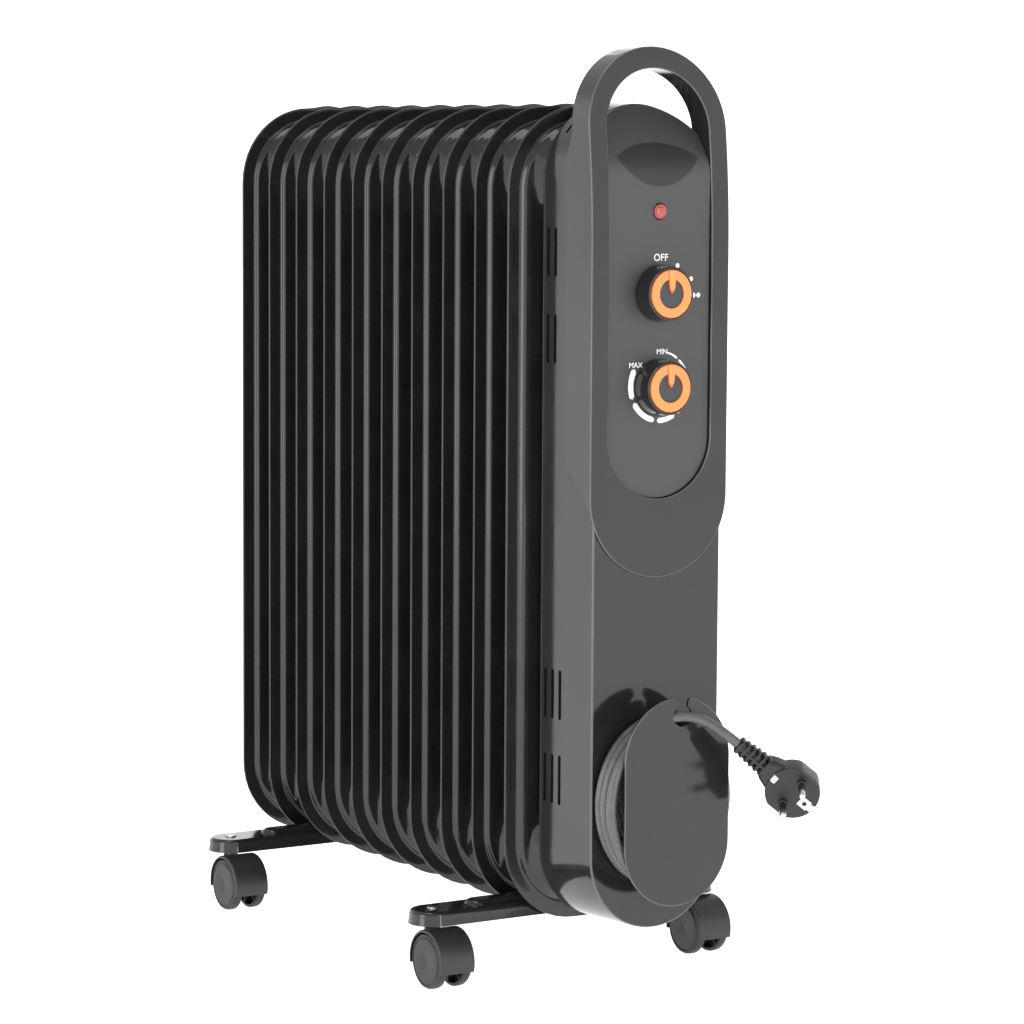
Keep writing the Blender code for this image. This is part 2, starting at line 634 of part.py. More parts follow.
def leg_shell(name, y, stems):
    """Pressed channel, open below, reaching from one castor stem to the other."""
    bm = bmesh.new()
    middle = sum(stems) / 2
    length = (stems[1] - stems[0]) / 2 + LEG_HALF
    outline = [(x, z) for z, x in stadium(LEG_HALF, -length, length, steps=6)]
    rows = []
    for inset, z in ((-0.8 * MM, LEG_TOP - LEG_DEPTH), (0, LEG_TOP - 1.5 * MM), (1.5 * MM, LEG_TOP)):
        scale_x = (length - inset) / length
        scale_y = (LEG_HALF - inset) / LEG_HALF
        rows.append([bm.verts.new((middle + px * scale_x, y + py * scale_y, z)) for px, py in outline])
    for low, high in zip(rows, rows[1:]):
        for i in range(len(low)):
            j = (i + 1) % len(low)
            bm.faces.new((low[i], low[j], high[j], high[i]))
    bm.faces.new(rows[-1])
    leg = add_object(name, bm, black_enamel())
    walls = leg.modifiers.new("walls", 'SOLIDIFY')
    walls.thickness = LEG_SHEET
    walls.offset = -1
    return leg


def make_leg(name, y):
    """Leg with a raised rib, a hole for each castor stem and a U bolt over the lower header."""
    stems = STEM_PLACES[name]
    leg = leg_shell(name + "_leg", y, stems)
    look = black_enamel()
    rib = box(name + "_rib", (stems[0] + 22 * MM, y - 8 * MM, LEG_TOP - 1.2 * MM),
              (stems[1] - 22 * MM, y + 8 * MM, LEG_TOP + 3 * MM), look, bevel=1.5 * MM)
    boolean(leg, as_cutter(rib), 'UNION')
    bolt_half = HEADER_RADIUS + 3.2 * MM
    holes = [(x, 4.4 * MM) for x in stems] + [(-bolt_half, 2.9 * MM), (bolt_half, 2.9 * MM)]
    for x, radius in holes:
        hole = rod("leg_hole", (x, y, 30 * MM), (x, y, 60 * MM), radius, look, sides=16)
        boolean(leg, as_cutter(hole))
    path = [(-bolt_half, y, LEG_TOP - LEG_DEPTH - 2 * MM)]
    for step in range(13):
        angle = math.radians(180 - 15 * step)
        path.append((bolt_half * math.cos(angle), y, LOWER_HEADER_Z + bolt_half * math.sin(angle)))
    path.append((bolt_half, y, LEG_TOP - LEG_DEPTH - 2 * MM))
    wire(name + "_u_bolt", path, 2.4 * MM, bright_steel(), resolution=1)


def make_castor(name, x, y):
    """Twin-wheel castor, its wheels trailing ahead of the stem, as after the heater was pulled back."""
    pivot = bpy.data.objects.new(name + "_pivot", None)
    parts.objects.link(pivot)
    pivot.location = (x, y, 0)
    look = matte_plastic()
    half = CASTOR_WIDTH / 2
    core_half = half - WHEEL_WIDTH - 0.6 * MM
    hood = make_castor_hood(name + "_hood", pivot, half, core_half)
    hood.parent = pivot
    stem = rod(name + "_stem", (0, 0, HOOD_TOP + 1.2 * MM + GAP), (0, 0, LEG_TOP + 1 * MM), 3.6 * MM,
               bright_steel(), sides=16)
    stem.parent = pivot
    bore = 2.6 * MM
    web = WHEEL_WIDTH - 1.4 * MM
    profile = [(0, WHEEL_WIDTH), (4 * MM, WHEEL_WIDTH), (WHEEL_RADIUS - 3.5 * MM, WHEEL_WIDTH),
               (WHEEL_RADIUS - 1 * MM, WHEEL_WIDTH - 0.8 * MM), (WHEEL_RADIUS, WHEEL_WIDTH - 2.2 * MM),
               (WHEEL_RADIUS, 0.6 * MM), (WHEEL_RADIUS - 0.6 * MM, 0), (bore, 0), (bore, web), (0, web)]
    for side, letter in ((-1, "a"), (1, "b")):
        wheel = turned(name + "_wheel_" + letter, profile, (0, 0, 0), (side, 0, 0), look, steps=20)
        turn = Vector((side, 0, 0)).to_track_quat('Z', 'Y').to_matrix().to_4x4()
        wheel.parent = pivot
        wheel.matrix_parent_inverse = Matrix.Identity(4)
        inner_face = side * (core_half + 0.5 * MM)
        wheel.matrix_basis = Matrix.Translation((inner_face, -CASTOR_TRAIL, WHEEL_RADIUS)) @ turn


def make_castor_hood(name, pivot, half, core_half):
    """Drum hood over both wheels, with the web between them, the axle and the stem's socket."""
    look = matte_plastic()
    axle_y = -CASTOR_TRAIL
    hood = rod(name, (-half, axle_y, WHEEL_RADIUS), (half, axle_y, WHEEL_RADIUS), HOOD_RADIUS + 1 * MM,
               look, sides=24)
    tools = []
    for side in (-1, 1):
        pocket = rod("pocket", (side * core_half, axle_y, WHEEL_RADIUS),
                     (side * (half + 5 * MM), axle_y, WHEEL_RADIUS), WHEEL_RADIUS + 0.8 * MM, look, sides=24)
        tools.append((pocket, 'DIFFERENCE'))
    below = box("below", (-half - 5 * MM, axle_y - 40 * MM, -30 * MM),
                (half + 5 * MM, axle_y + 40 * MM, 16 * MM), look)
    tools.append((below, 'DIFFERENCE'))
    axle_half = half - 2.4 * MM
    axle = rod("axle_stub", (-axle_half, axle_y, WHEEL_RADIUS), (axle_half, axle_y, WHEEL_RADIUS), 2.1 * MM,
               look, sides=12)
    tools.append((axle, 'UNION'))
    socket = rod("socket", (0, 0, HOOD_TOP - 8 * MM), (0, 0, HOOD_TOP + 1.2 * MM), 4.7 * MM, look, sides=16)
    tools.append((socket, 'UNION'))
    for tool, operation in tools:
        boolean(hood, as_cutter(tool), operation)
        tool.parent = pivot
    return hood


def centre_on_origin():
    """Shift everything so that the origin is at the middle of the footprint."""
    rear = FIRST_FIN_Y + (FIN_COUNT - 0.5) * FIN_PITCH + GAP / 2 + FILLER_LENGTH
    middle = (PLATE_FRONT + rear) / 2
    for item in list(parts.objects) + list(cutters.objects):
        if item.parent is None:
            item.location.y -= middle


def main():
    global parts, cutters
    clear_scene()
    parts = new_collection("oil_radiator")
    cutters = new_collection("cutters")
    make_fins()
    make_header_closures()
    make_mounting_plate()
    make_housing()
    make_handle_frame()
    make_control_panel()
    make_panel_fittings()
    make_controls()
    make_cord_storage()
    make_cord()
    make_plug()
    for name, y in LEG_PLACES.items():
        make_leg(name, y)
        for x, letter in zip(STEM_PLACES[name], ("left", "right")):
            make_castor("castor_%s_%s" % (name, letter), x, y)
    centre_on_origin()
    bpy.context.view_layer.update()


main()
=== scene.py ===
"""Oil filled radiator heater: detailed pieces, materials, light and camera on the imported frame.

Shapes are written in millimetres with the control panel at y = 0 and the floor at z = 0. SHIFT takes
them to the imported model's frame.
"""
import math

import bmesh
import bpy
from mathutils import Matrix, Vector


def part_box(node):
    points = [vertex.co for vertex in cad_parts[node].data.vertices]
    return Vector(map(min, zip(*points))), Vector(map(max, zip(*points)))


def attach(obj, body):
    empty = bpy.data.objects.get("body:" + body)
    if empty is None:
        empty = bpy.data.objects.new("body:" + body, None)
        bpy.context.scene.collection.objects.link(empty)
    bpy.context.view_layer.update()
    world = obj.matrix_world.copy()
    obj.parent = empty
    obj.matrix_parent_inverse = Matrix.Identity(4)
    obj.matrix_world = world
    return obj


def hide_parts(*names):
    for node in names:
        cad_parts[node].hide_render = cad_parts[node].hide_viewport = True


MM = 0.001
GAP = 0.3

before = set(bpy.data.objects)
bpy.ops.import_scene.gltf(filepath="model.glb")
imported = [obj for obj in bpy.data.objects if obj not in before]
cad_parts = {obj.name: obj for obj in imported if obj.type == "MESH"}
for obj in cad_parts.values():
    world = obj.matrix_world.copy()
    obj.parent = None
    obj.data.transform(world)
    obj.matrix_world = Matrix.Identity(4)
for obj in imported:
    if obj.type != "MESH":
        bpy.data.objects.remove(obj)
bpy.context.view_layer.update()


def middle_of(node):
    """Centre of a CAD node's box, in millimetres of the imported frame."""
    low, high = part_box(node)
    return (Vector(low) + Vector(high)) * (0.5 / MM)


# Fins
FIN_COUNT = 10
FIRST_FIN_Y = 62
FIN_HALF = 74
FIN_BOTTOM = 39
FIN_TOP = 598
FIN_RADIUS = 57
FIN_CROWN = 1.9
FIN_REACH = 20.95
HEADER_RADIUS = 22
LOWER_HEADER_Z = 87
UPPER_HEADER_Z = 550

# Housing
RIM_HALF = 53.5
FACE_HALF = 51
RIM_Y = 48
FACE_Y = -10.7
HOUSING_TOP = 598.5
HOUSING_BOTTOM = 41
WALL = 2.2

# Handle frame
FRAME_HALF = 55
FRAME_FRONT = -12.5
FRAME_BACK = 8
FRAME_TOP = 635
FRAME_BOTTOM = 282
OPENING_HALF = 41
OPENING_BOTTOM = 335
OPENING_TOP = 620.5
SHOULDER_Z = 556
LEAN_START = 500
LOOP_LEAN = 13

# Control panel
PANEL_Y = -10
BREAK_Z = 562
SLOPE_BACK = 16
SLOPE_TOP = 594
POWER_Z = 472
THERMOSTAT_Z = 409.5
INDICATOR_Z = 526

# Cord storage
CORD_DIAMETER = 6.8
COIL_Z = 132
COIL_START = 248            # degrees, where the coil leaves the gland
COIL_FIRST = 0.66           # first radius, as a share of the full one
COIL_OPENS = 0.75           # turns until the radius is full
STEPS_PER_TURN = 28
COIL_STEPS = 4 * STEPS_PER_TURN + 8
CORD_SMOOTHING = 16
BAND_RADIUS = 23.0
BAND_SHIFT = (1.0, 0.6)
PLATE_HALF = 42
PLATE_FRONT = -38
PLATE_BACK = -35.7
PLATE_BOTTOM = 63
PLATE_TOP = 204
NOTCH_X = 3.5
NOTCH_Z = 191.5
NOTCH_RADIUS = 7.4
GLAND_TIP = Vector((2, -20.5, 102))
RELIEF_START = Vector((32, -62, 173.5))
PLUG_ALONG = Vector((0.716, -0.303, -0.628)).normalized()
PLUG_FACE = Vector((-0.573, -0.773, -0.272))
PLUG_REACH = 48
PLUG_RADIUS = 18.5
PLUG_DEPTH = 17
PIN_SPACING = 19

# Legs and castors
STEM_PLACES = {"front": (-118, 94), "rear": (-118, 118)}
LEG_HALF = 16
LEG_TOP = 52
LEG_DEPTH = 9.6
WHEEL_RADIUS = 19
WHEEL_WIDTH = 8
CASTOR_WIDTH = 27
CASTOR_TRAIL = 13
HOOD_RADIUS = 21.6
HOOD_TOP = 38

SHIFT = Vector((0, middle_of("fin_01").y - FIRST_FIN_Y, 0))
TO_FRAME = Matrix.Scale(MM, 4) @ Matrix.Translation(SHIFT)


# ---------------------------------------------------------------- materials

def new_material(name, base, roughness, metallic=0.0):
    made = bpy.data.materials.new(name)
    made.use_nodes = True
    shader = made.node_tree.nodes["Principled BSDF"]
    shader.inputs["Base Color"].default_value = (*base, 1.0)
    shader.inputs["Roughness"].default_value = roughness
    shader.inputs["Metallic"].default_value = metallic
    return made, shader


def noise_node(tree, scale, detail=3.0):
    """Noise that follows the object's own coordinates; scale is in cells per metre."""
    place = tree.nodes.new("ShaderNodeTexCoord")
    noise = tree.nodes.new("ShaderNodeTexNoise")
    noise.inputs["Scale"].default_value = scale
    noise.inputs["Detail"].default_value = detail
    tree.links.new(place.outputs["Object"], noise.inputs["Vector"])
    return noise.outputs["Fac"]


def ranged(tree, value, low, high, start=0.35, end=0.65):
    spread = tree.nodes.new("ShaderNodeMapRange")
    spread.inputs["From Min"].default_value = start
    spread.inputs["From Max"].default_value = end
    spread.inputs["To Min"].default_value = low
    spread.inputs["To Max"].default_value = high
    tree.links.new(value, spread.inputs["Value"])
    return spread.outputs["Result"]


def vary_roughness(material, shader, scale, low, high):
    tree = material.node_tree
    tree.links.new(ranged(tree, noise_node(tree, scale), low, high), shader.inputs["Roughness"])


def vary_color(material, shader, scale, first, second):
    tree = material.node_tree
    ramp = tree.nodes.new("ShaderNodeValToRGB")
    ramp.color_ramp.elements[0].position = 0.38
    ramp.color_ramp.elements[0].color = (*first, 1.0)
    ramp.color_ramp.elements[1].position = 0.66
    ramp.color_ramp.elements[1].color = (*second, 1.0)
    tree.links.new(noise_node(tree, scale, 5.0), ramp.inputs["Fac"])
    tree.links.new(ramp.outputs["Color"], shader.inputs["Base Color"])


def add_bump(material, shader, scale, depth, detail=2.0):
    tree = material.node_tree
    bump = tree.nodes.new("ShaderNodeBump")
    bump.inputs["Strength"].default_value = 1.0
    bump.inputs["Distance"].default_value = depth * MM
    tree.links.new(noise_node(tree, scale, detail), bump.inputs["Height"])
    tree.links.new(bump.outputs["Normal"], shader.inputs["Normal"])


def finish(name, base, roughness, rough, tint, bump=None, metallic=0.0):
    """Procedural finish; rough and tint are a noise scale with two ends, bump a scale with a depth in mm."""
    made, shader = new_material(name, base, roughness, metallic)
    vary_roughness(made, shader, *rough)
    vary_color(made, shader, *tint)
    if bump:
        add_bump(made, shader, *bump)
    return made


def shades(base, share):
    return [c * (1 - share) for c in base], [c * (1 + share) for c in base]


def make_enamel():
    """Baked black enamel: deep gloss, a faint orange peel and patches of settled dust."""
    return finish("enamel", (0.0135, 0.0135, 0.014), 0.09, (60, 0.07, 0.13),
                  (34, (0.012, 0.012, 0.0125), (0.0155, 0.0155, 0.016)), (260, 0.012))


def make_gloss_plastic(name, base):
    return finish(name, base, 0.1, (45, 0.08, 0.14), (22, *shades(base, 0.07)), (90, 0.01))


def make_grained_plastic(name, base, roughness=0.42):
    """Spark-eroded grain of the panel and castors."""
    return finish(name, base, roughness, (1500, roughness - 0.06, roughness + 0.08),
                  (2400, *shades(base, 0.12)), (2600, 0.05, 3.0))


def make_rubber(name, base, roughness):
    return finish(name, base, roughness, (500, roughness - 0.04, roughness + 0.06),
                  (160, *shades(base, 0.1)), (1200, 0.02))


def make_orange(name, base):
    return finish(name, base, 0.35, (900, 0.26, 0.36), (500, *shades(base, 0.03)))


def make_lens():
    made = finish("lens", (0.34, 0.04, 0.022), 0.12, (900, 0.1, 0.2),
                  (700, (0.3, 0.034, 0.02), (0.4, 0.06, 0.038)))
    made.node_tree.nodes["Principled BSDF"].inputs["Coat Weight"].default_value = 0.6
    return made


def make_steel():
    return finish("plated_steel", (0.62, 0.62, 0.63), 0.25, (700, 0.18, 0.34),
                  (300, (0.56, 0.56, 0.57), (0.68, 0.68, 0.69)), (900, 0.01), 1.0)


def make_pale_plastic():
    return finish("switch_plastic", (0.7, 0.68, 0.62), 0.45, (800, 0.4, 0.52),
                  (300, (0.66, 0.64, 0.58), (0.73, 0.71, 0.65)))


def make_print():
    return finish("dial_print", (0.85, 0.85, 0.84), 0.5, (1800, 0.42, 0.58),
                  (1500, (0.8, 0.8, 0.79), (0.88, 0.88, 0.87)))


def make_floor():
    made, shader = new_material("floor", (0.88, 0.88, 0.88), 0.6)
    shader.inputs["Emission Color"].default_value = (1, 1, 1, 1)
    shader.inputs["Emission Strength"].default_value = 1.0
    vary_roughness(made, shader, 3, 0.55, 0.7)
    return made


# ---------------------------------------------------------------- mesh helpers

def mesh_object(name, bm):
    bmesh.ops.recalc_face_normals(bm, faces=bm.faces[:])
    mesh = bpy.data.meshes.new(name)
    bm.to_mesh(mesh)
    bm.free()
    item = bpy.data.objects.new(name, mesh)
    bpy.context.scene.collection.objects.link(item)
    return item


def apply_modifiers(item):
    bpy.context.view_layer.update()
    graph = bpy.context.evaluated_depsgraph_get()
    mesh = bpy.data.meshes.new_from_object(item.evaluated_get(graph))
    old = item.data
    item.modifiers.clear()
    item.data = mesh
    bpy.data.meshes.remove(old)
    return item


def combine(item, tools, operation='DIFFERENCE'):
    """Exact boolean of the item with each tool in turn; the tools are used up."""
    for tool in tools:
        change = item.modifiers.new("combine", 'BOOLEAN')
        change.operation = operation
        change.solver = 'EXACT'
        change.object = tool
    apply_modifiers(item)
    for tool in tools:
        bpy.data.objects.remove(tool, do_unlink=True)
    return item


def cut_level(item, heights):
    """Edge loops at the given heights, so that the shape can be bent smoothly."""
    bm = bmesh.new()
    bm.from_mesh(item.data)
    for height in heights:
        bmesh.ops.bisect_plane(bm, geom=bm.verts[:] + bm.edges[:] + bm.faces[:], dist=0.0001,
                               plane_co=(0, 0, height + 0.05), plane_no=(0, 0, 1))
    bm.to_mesh(item.data)
    bm.free()


def soften(item, width, segments=2, angle=40):
    """Round the sharp edges."""
    change = item.modifiers.new("soften", 'BEVEL')
    change.width = width
    change.segments = segments
    change.limit_method = 'ANGLE'
    change.angle_limit = math.radians(angle)
    return apply_modifiers(item)


def mark_edges(item, test):
    """Put the faces that pass the test in the second material slot; its look is a painted highlight on the plastic
    shells' edges and painted shade on the dial rings' sides.
    """
    mesh = item.data
    while len(mesh.materials) < 2:
        mesh.materials.append(None)
    for polygon in mesh.polygons:
        if test(polygon.center, polygon.normal):
            polygon.material_index = 1
    return item


def rounded_over(center, normal):
    return 0.12 < abs(normal.y) < 0.97


def settle(item, look, body, nodes=(), angle=35, edge=None):
    """Bring a finished shape to the frame's metres, give it its look and body."""
    mesh = item.data
    mesh.transform(TO_FRAME @ item.matrix_world)
    item.matrix_world = Matrix.Identity(4)
    # edge: second look for the faces that mark_edges moved to slot 1; it paints highlights on plastic edges and
    # shade on the dial rings' sides.
    marked = [polygon.material_index if edge else 0 for polygon in mesh.polygons]
    mesh.materials.clear()
    mesh.materials.append(look)
    if edge:
        mesh.materials.append(edge)
    mesh.polygons.foreach_set("material_index", [min(1, index) for index in marked])
    mesh.shade_smooth()
    mesh.set_sharp_from_angle(angle=math.radians(angle))
    even = item.modifiers.new("even_shading", 'WEIGHTED_NORMAL')
    even.keep_sharp = True
    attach(item, body)
    if nodes:
        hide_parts(*nodes)
    return item


def stadium(half, bottom, top, radius=None, steps=24):
    """Outline in the XZ plane of an upright rounded rectangle; full round ends by default."""
    radius = half if radius is None else radius
    corners = ((half - radius, top - radius, 0), (radius - half, top - radius, 90),
               (radius - half, bottom + radius, 180), (half - radius, bottom + radius, 270))
    points = []
    for x, z, start in corners:
        for step in range(steps + 1):
            angle = math.radians(start + 90 * step / steps)
            point = (x + radius * math.cos(angle), z + radius * math.sin(angle))
            if not points or math.dist(point, points[-1]) > 0.001:
                points.append(point)
    if math.dist(points[0], points[-1]) < 0.001:
        points.pop()
    return points


def loft(name, loops, closed=False):
    """Skin over loops of equally many points; capped at both ends unless closed."""
    bm = bmesh.new()
    rows = [[bm.verts.new(point) for point in loop] for loop in loops]
    pairs = list(zip(rows, rows[1:]))
    if closed:
        pairs.append((rows[-1], rows[0]))
    else:
        bm.faces.new(rows[0])
        bm.faces.new(rows[-1])
    for low, high in pairs:
        for i in range(len(low)):
            j = (i + 1) % len(low)
            bm.faces.new((low[i], low[j], high[j], high[i]))
    return mesh_object(name, bm)


def quarter(radius, steps=4):
    """(inset, drop) pairs over a quarter round, from the side to the face."""
    turns = [math.radians(90 * step / steps) for step in range(steps + 1)]
    return [(radius * (1 - math.cos(a)), radius * math.sin(a)) for a in turns]


def slab(name, half, bottom, top, y_front, y_back, front_round=0.6, back_round=0.3, corner=None, steps=24):
    """Upright rounded plate with rounded front and back edges."""
    corner = half if corner is None else corner
    insets = [(inset, y_back - back_round + drop) for inset, drop in reversed(quarter(back_round))]
    insets += [(inset, y_front + front_round - drop) for inset, drop in quarter(front_round)]
    loops = []
    for inset, y in insets:
        outline = stadium(half - inset, bottom + inset, top - inset, corner - inset, steps)
        loops.append([(x, y, z) for x, z in outline])
    return loft(name, loops)


def block(name, low, high):
    bm = bmesh.new()
    bmesh.ops.create_cube(bm, size=1.0)
    bmesh.ops.scale(bm, vec=[b - a for a, b in zip(low, high)], verts=bm.verts[:])
    bmesh.ops.translate(bm, vec=[(a + b) / 2 for a, b in zip(low, high)], verts=bm.verts[:])
    return mesh_object(name, bm)


def prism(name, outline, y_front, y_back):
    return loft(name, [[(x, y, z) for x, z in outline] for y in (y_back, y_front)])


def side_prism(name, outline, half):
    """Prism from a YZ outline, reaching half to each side of x = 0."""
    return loft(name, [[(x, y, z) for y, z in outline] for x in (-half, half)])


def turned(name, profile, place, axis, steps=64):
    """Body turned about an axis; profile is (radius, along the axis), from the axis back to the axis."""
    turn = Vector(axis).to_track_quat('Z', 'Y').to_matrix().to_4x4()
    to_place = Matrix.Translation(place) @ turn
    bm = bmesh.new()
    rings = []
    for radius, along in profile:
        if radius < 0.0001:
            rings.append([bm.verts.new(to_place @ Vector((0, 0, along)))])
            continue
        angles = [2 * math.pi * step / steps for step in range(steps)]
        rings.append([bm.verts.new(to_place @ Vector((radius * math.cos(a), radius * math.sin(a), along)))
                      for a in angles])
    pairs = list(zip(rings, rings[1:]))
    if len(rings[0]) > 1:
        pairs.append((rings[-1], rings[0]))
    for first, second in pairs:
        for i in range(steps):
            j = (i + 1) % steps
            corners = [first[i % len(first)], first[j % len(first)], second[j % len(second)],
                       second[i % len(second)]]
            corners = [v for n, v in enumerate(corners) if v not in corners[:n]]
            if len(corners) > 2:
                bm.faces.new(corners)
    return mesh_object(name, bm)


def rod(name, start, end, radius, end_radius=None, edge=0.3, sides=32):
    """Round bar or cone between two points, with softened ends."""
    start, end = Vector(start), Vector(end)
    axis = end - start
    length = axis.length
    end_radius = radius if end_radius is None else end_radius
    profile = [(0, 0), (radius - edge, 0), (radius, edge), (end_radius, length - edge),
               (end_radius - edge, length), (0, length)]
    return turned(name, profile, start, axis.normalized(), sides)


def join(name, items):
    """One object from several closed shapes."""
    bm = bmesh.new()
    for item in items:
        item.data.transform(item.matrix_world)
        bm.from_mesh(item.data)
        bpy.data.objects.remove(item, do_unlink=True)
    return mesh_object(name, bm)


def smooth_path(points, spacing):
    """Even points along a Catmull-Rom curve through the given ones."""
    ends = [points[0] * 2 - points[1]] + list(points) + [points[-1] * 2 - points[-2]]
    fine = []
    for a, b, c, d in zip(ends, ends[1:], ends[2:], ends[3:]):
        for step in range(20):
            t = step / 20
            fine.append(0.5 * (2 * b + (c - a) * t + (2 * a - 5 * b + 4 * c - d) * t * t
                               + (3 * b - a - 3 * c + d) * t ** 3))
    fine.append(points[-1])
    length = sum((q - p).length for p, q in zip(fine, fine[1:]))
    count = max(2, round(length / spacing))
    wanted = [length * i / count for i in range(1, count)]
    even, run = [fine[0]], 0.0
    for p, q in zip(fine, fine[1:]):
        while wanted and run + (q - p).length >= wanted[0]:
            even.append(p.lerp(q, (wanted.pop(0) - run) / (q - p).length))
        run += (q - p).length
    return even + [fine[-1]]


# ---------------------------------------------------------------- fins

def fin_ring(inset):
    """Outline of a fin at an inset, its upright runs split more finely near the headers."""
    corner = max(FIN_RADIUS - inset, 3)
    half = FIN_HALF - inset
    bottom, top = FIN_BOTTOM + inset, FIN_TOP - FIN_CROWN - inset
    ends = [i / 60 for i in range(1, 13)]
    upright = ends + [0.3, 0.4, 0.5, 0.6, 0.7] + [1 - share for share in reversed(ends)]
    level = [i / 8 for i in range(1, 8)]
    corners = ((half - corner, top - corner, 0, level), (corner - half, top - corner, 90, upright),
               (corner - half, bottom + corner, 180, level), (half - corner, bottom + corner, 270, upright))
    points = []
    for index, (x, z, start, shares) in enumerate(corners):
        for step in range(13):
            angle = math.radians(start + 7.5 * step)
            points.append((x + corner * math.cos(angle), z + corner * math.sin(angle)))
        after = corners[(index + 1) % 4]
        last = points[-1]
        turn = math.radians(after[2])
        target = (after[0] + corner * math.cos(turn), after[1] + corner * math.sin(turn))
        crown = FIN_CROWN if index == 0 else 0
        points += [(last[0] + (target[0] - last[0]) * s,
                    last[1] + (target[1] - last[1]) * s + crown * (0.5 - 0.5 * math.cos(2 * math.pi * s)))
                   for s in shares]
    return points


FIN_FLANGE = ((0.15, 0.5), (0.5, 0.75), (1.0, 0.85), (3, 0.85), (6, 0.85), (8.4, 0.85), (9.2, 1.0), (9.8, 1.45),
              (10.2, 2.1), (10.5, 2.8), (10.9, 3.4), (11.5, 3.95), (12.4, 4.3), (13.5, 4.45))
FIN_SECTION = FIN_FLANGE + tuple((inset, 4.5) for inset in list(range(15, 36, 2)) + list(range(38, 71, 4)))
DOME_RISE = 11.5
DOME_RADIUS = 57
DOME_TOP_RADIUS = 42


def dome(x, z, inset):
    """Extra rise of the channel towards each header."""
    rise = 0.0
    for header in (LOWER_HEADER_Z, UPPER_HEADER_Z):
        out = math.hypot(x, z - header) - DOME_TOP_RADIUS
        far = min(1.0, max(0.0, out / (DOME_RADIUS - DOME_TOP_RADIUS)))
        rise += DOME_RISE * (0.5 + 0.5 * math.cos(math.pi * far))
    inside = min(1.0, max(0.0, (inset - 9.5) / 9))
    return rise * inside * inside * (3 - 2 * inside)


def make_fins(look):
    loops = [[(x, 0.0, z) for x, z in fin_ring(0)]]
    for inset, y in FIN_SECTION:
        loops.append([(x, y + dome(x, z, inset), z) for x, z in fin_ring(inset)])
    front = [[(x, -y, z) for x, y, z in loop] for loop in reversed(loops[1:])]
    skin = loft("fin", front + loops)
    profile = [(0, FIN_REACH), (20.8, FIN_REACH), (21.7, FIN_REACH - 0.5), (22, FIN_REACH - 1.2), (22, 15.5),
               (22.4, 13.8), (23.6, 12.6), (26, 11.6), (26, 0), (0, 0)]
    collars = [turned("collar", profile, (0, 0, z), (0, side, 0)) for z in (LOWER_HEADER_Z, UPPER_HEADER_Z)
               for side in (-1, 1)]
    shape = join("fin", [skin] + collars)
    for index in range(FIN_COUNT):
        node = "fin_%02d" % (index + 1)
        fin = bpy.data.objects.new(node + "_shell", shape.data.copy())
        bpy.context.scene.collection.objects.link(fin)
        fin.matrix_world = Matrix.Translation((0, middle_of(node).y - SHIFT.y, 0))
        settle(fin, look, "heater", [node], angle=50)
    bpy.data.objects.remove(shape, do_unlink=True)


def make_rear_fittings(enamel):
    """Cap on the lower header's rear end, and the filler plug with its hexagon on the upper one."""
    rear = middle_of("rear_lower_header_cap").y - SHIFT.y - 1.25
    cap = [(0, 3.4), (17, 3.4), (17.8, 2.6), (18.4, 2.2), (21.2, 2.1), (22, 1.4), (22, 0), (0, 0)]
    settle(turned("rear_header_cap", cap, (0, rear, LOWER_HEADER_Z), (0, 1, 0)), enamel, "heater",
           ["rear_lower_header_cap"])
    seat = [(0, 2.6), (13, 2.6), (14, 2.9), (17, 2.7), (18, 2.2), (21.2, 2.0), (22, 1.2), (22, 0), (0, 0)]
    collar = turned("filler_seat", seat, (0, rear, UPPER_HEADER_Z), (0, 1, 0))
    hexagon = [(9 * math.cos(math.radians(60 * i)), UPPER_HEADER_Z + 9 * math.sin(math.radians(60 * i)))
               for i in range(6)]
    head = soften(prism("filler_head", hexagon, rear + 2, rear + 8.6), 0.7)
    settle(join("filler_plug", [collar, head]), enamel, "heater", ["oil_filler_plug"])


# ---------------------------------------------------------------- housing

def housing_skin(name, inset, back):
    """Closed dish of the housing's shape, drawn in from its outer skin by an inset."""
    edge = max(1.3 - inset, 0.6)
    face_half, face_y = FACE_HALF - inset, FACE_Y + inset
    steps = [(RIM_HALF - inset, back)]
    steps += [(face_half + 0.1 - turn_in, face_y + edge - drop) for turn_in, drop in quarter(edge, 6)]
    loops = []
    for half, y in steps:
        shrink = RIM_HALF - half
        outline = stadium(half, HOUSING_BOTTOM + shrink, HOUSING_TOP - shrink, steps=32)
        loops.append([(x, y, z) for x, z in outline])
    return loft(name, loops)


def wedge_tool():
    """What the leaning top of the control panel takes out of the housing."""
    back = PANEL_Y + 3.6
    slope_back = SLOPE_BACK + 3.8
    side = [(-30, SHOULDER_Z - 10), (back, SHOULDER_Z - 10), (back + 2.2, BREAK_Z - 6), (back + 8, BREAK_Z + 5),
            (slope_back, SLOPE_TOP - 3.5), (slope_back, 650), (-30, 650)]
    return side_prism("wedge", side, 70)


def vent(y, low, high, half=70):
    """Upright slot with rounded ends, cut through both side walls."""
    outline = [(y + b, z) for b, z in stadium(1.65, low, high, 1.5, steps=4)]
    return side_prism("vent", outline, half)


def crown_slot(y, turn_from, turn_to):
    """Slot cut through the rounded top corner, along the arc between two angles from upright."""
    points = []
    centre = HOUSING_TOP - RIM_HALF
    for radius, order in ((RIM_HALF + 3, 1), (RIM_HALF - 6, -1)):
        steps = range(9)
        for step in (steps if order > 0 else reversed(steps)):
            angle = math.radians(90 + turn_from + (turn_to - turn_from) * step / 8)
            points.append((radius * math.cos(angle), centre + radius * math.sin(angle)))
    return prism("crown_slot", points, y - 1.3, y + 1.3)


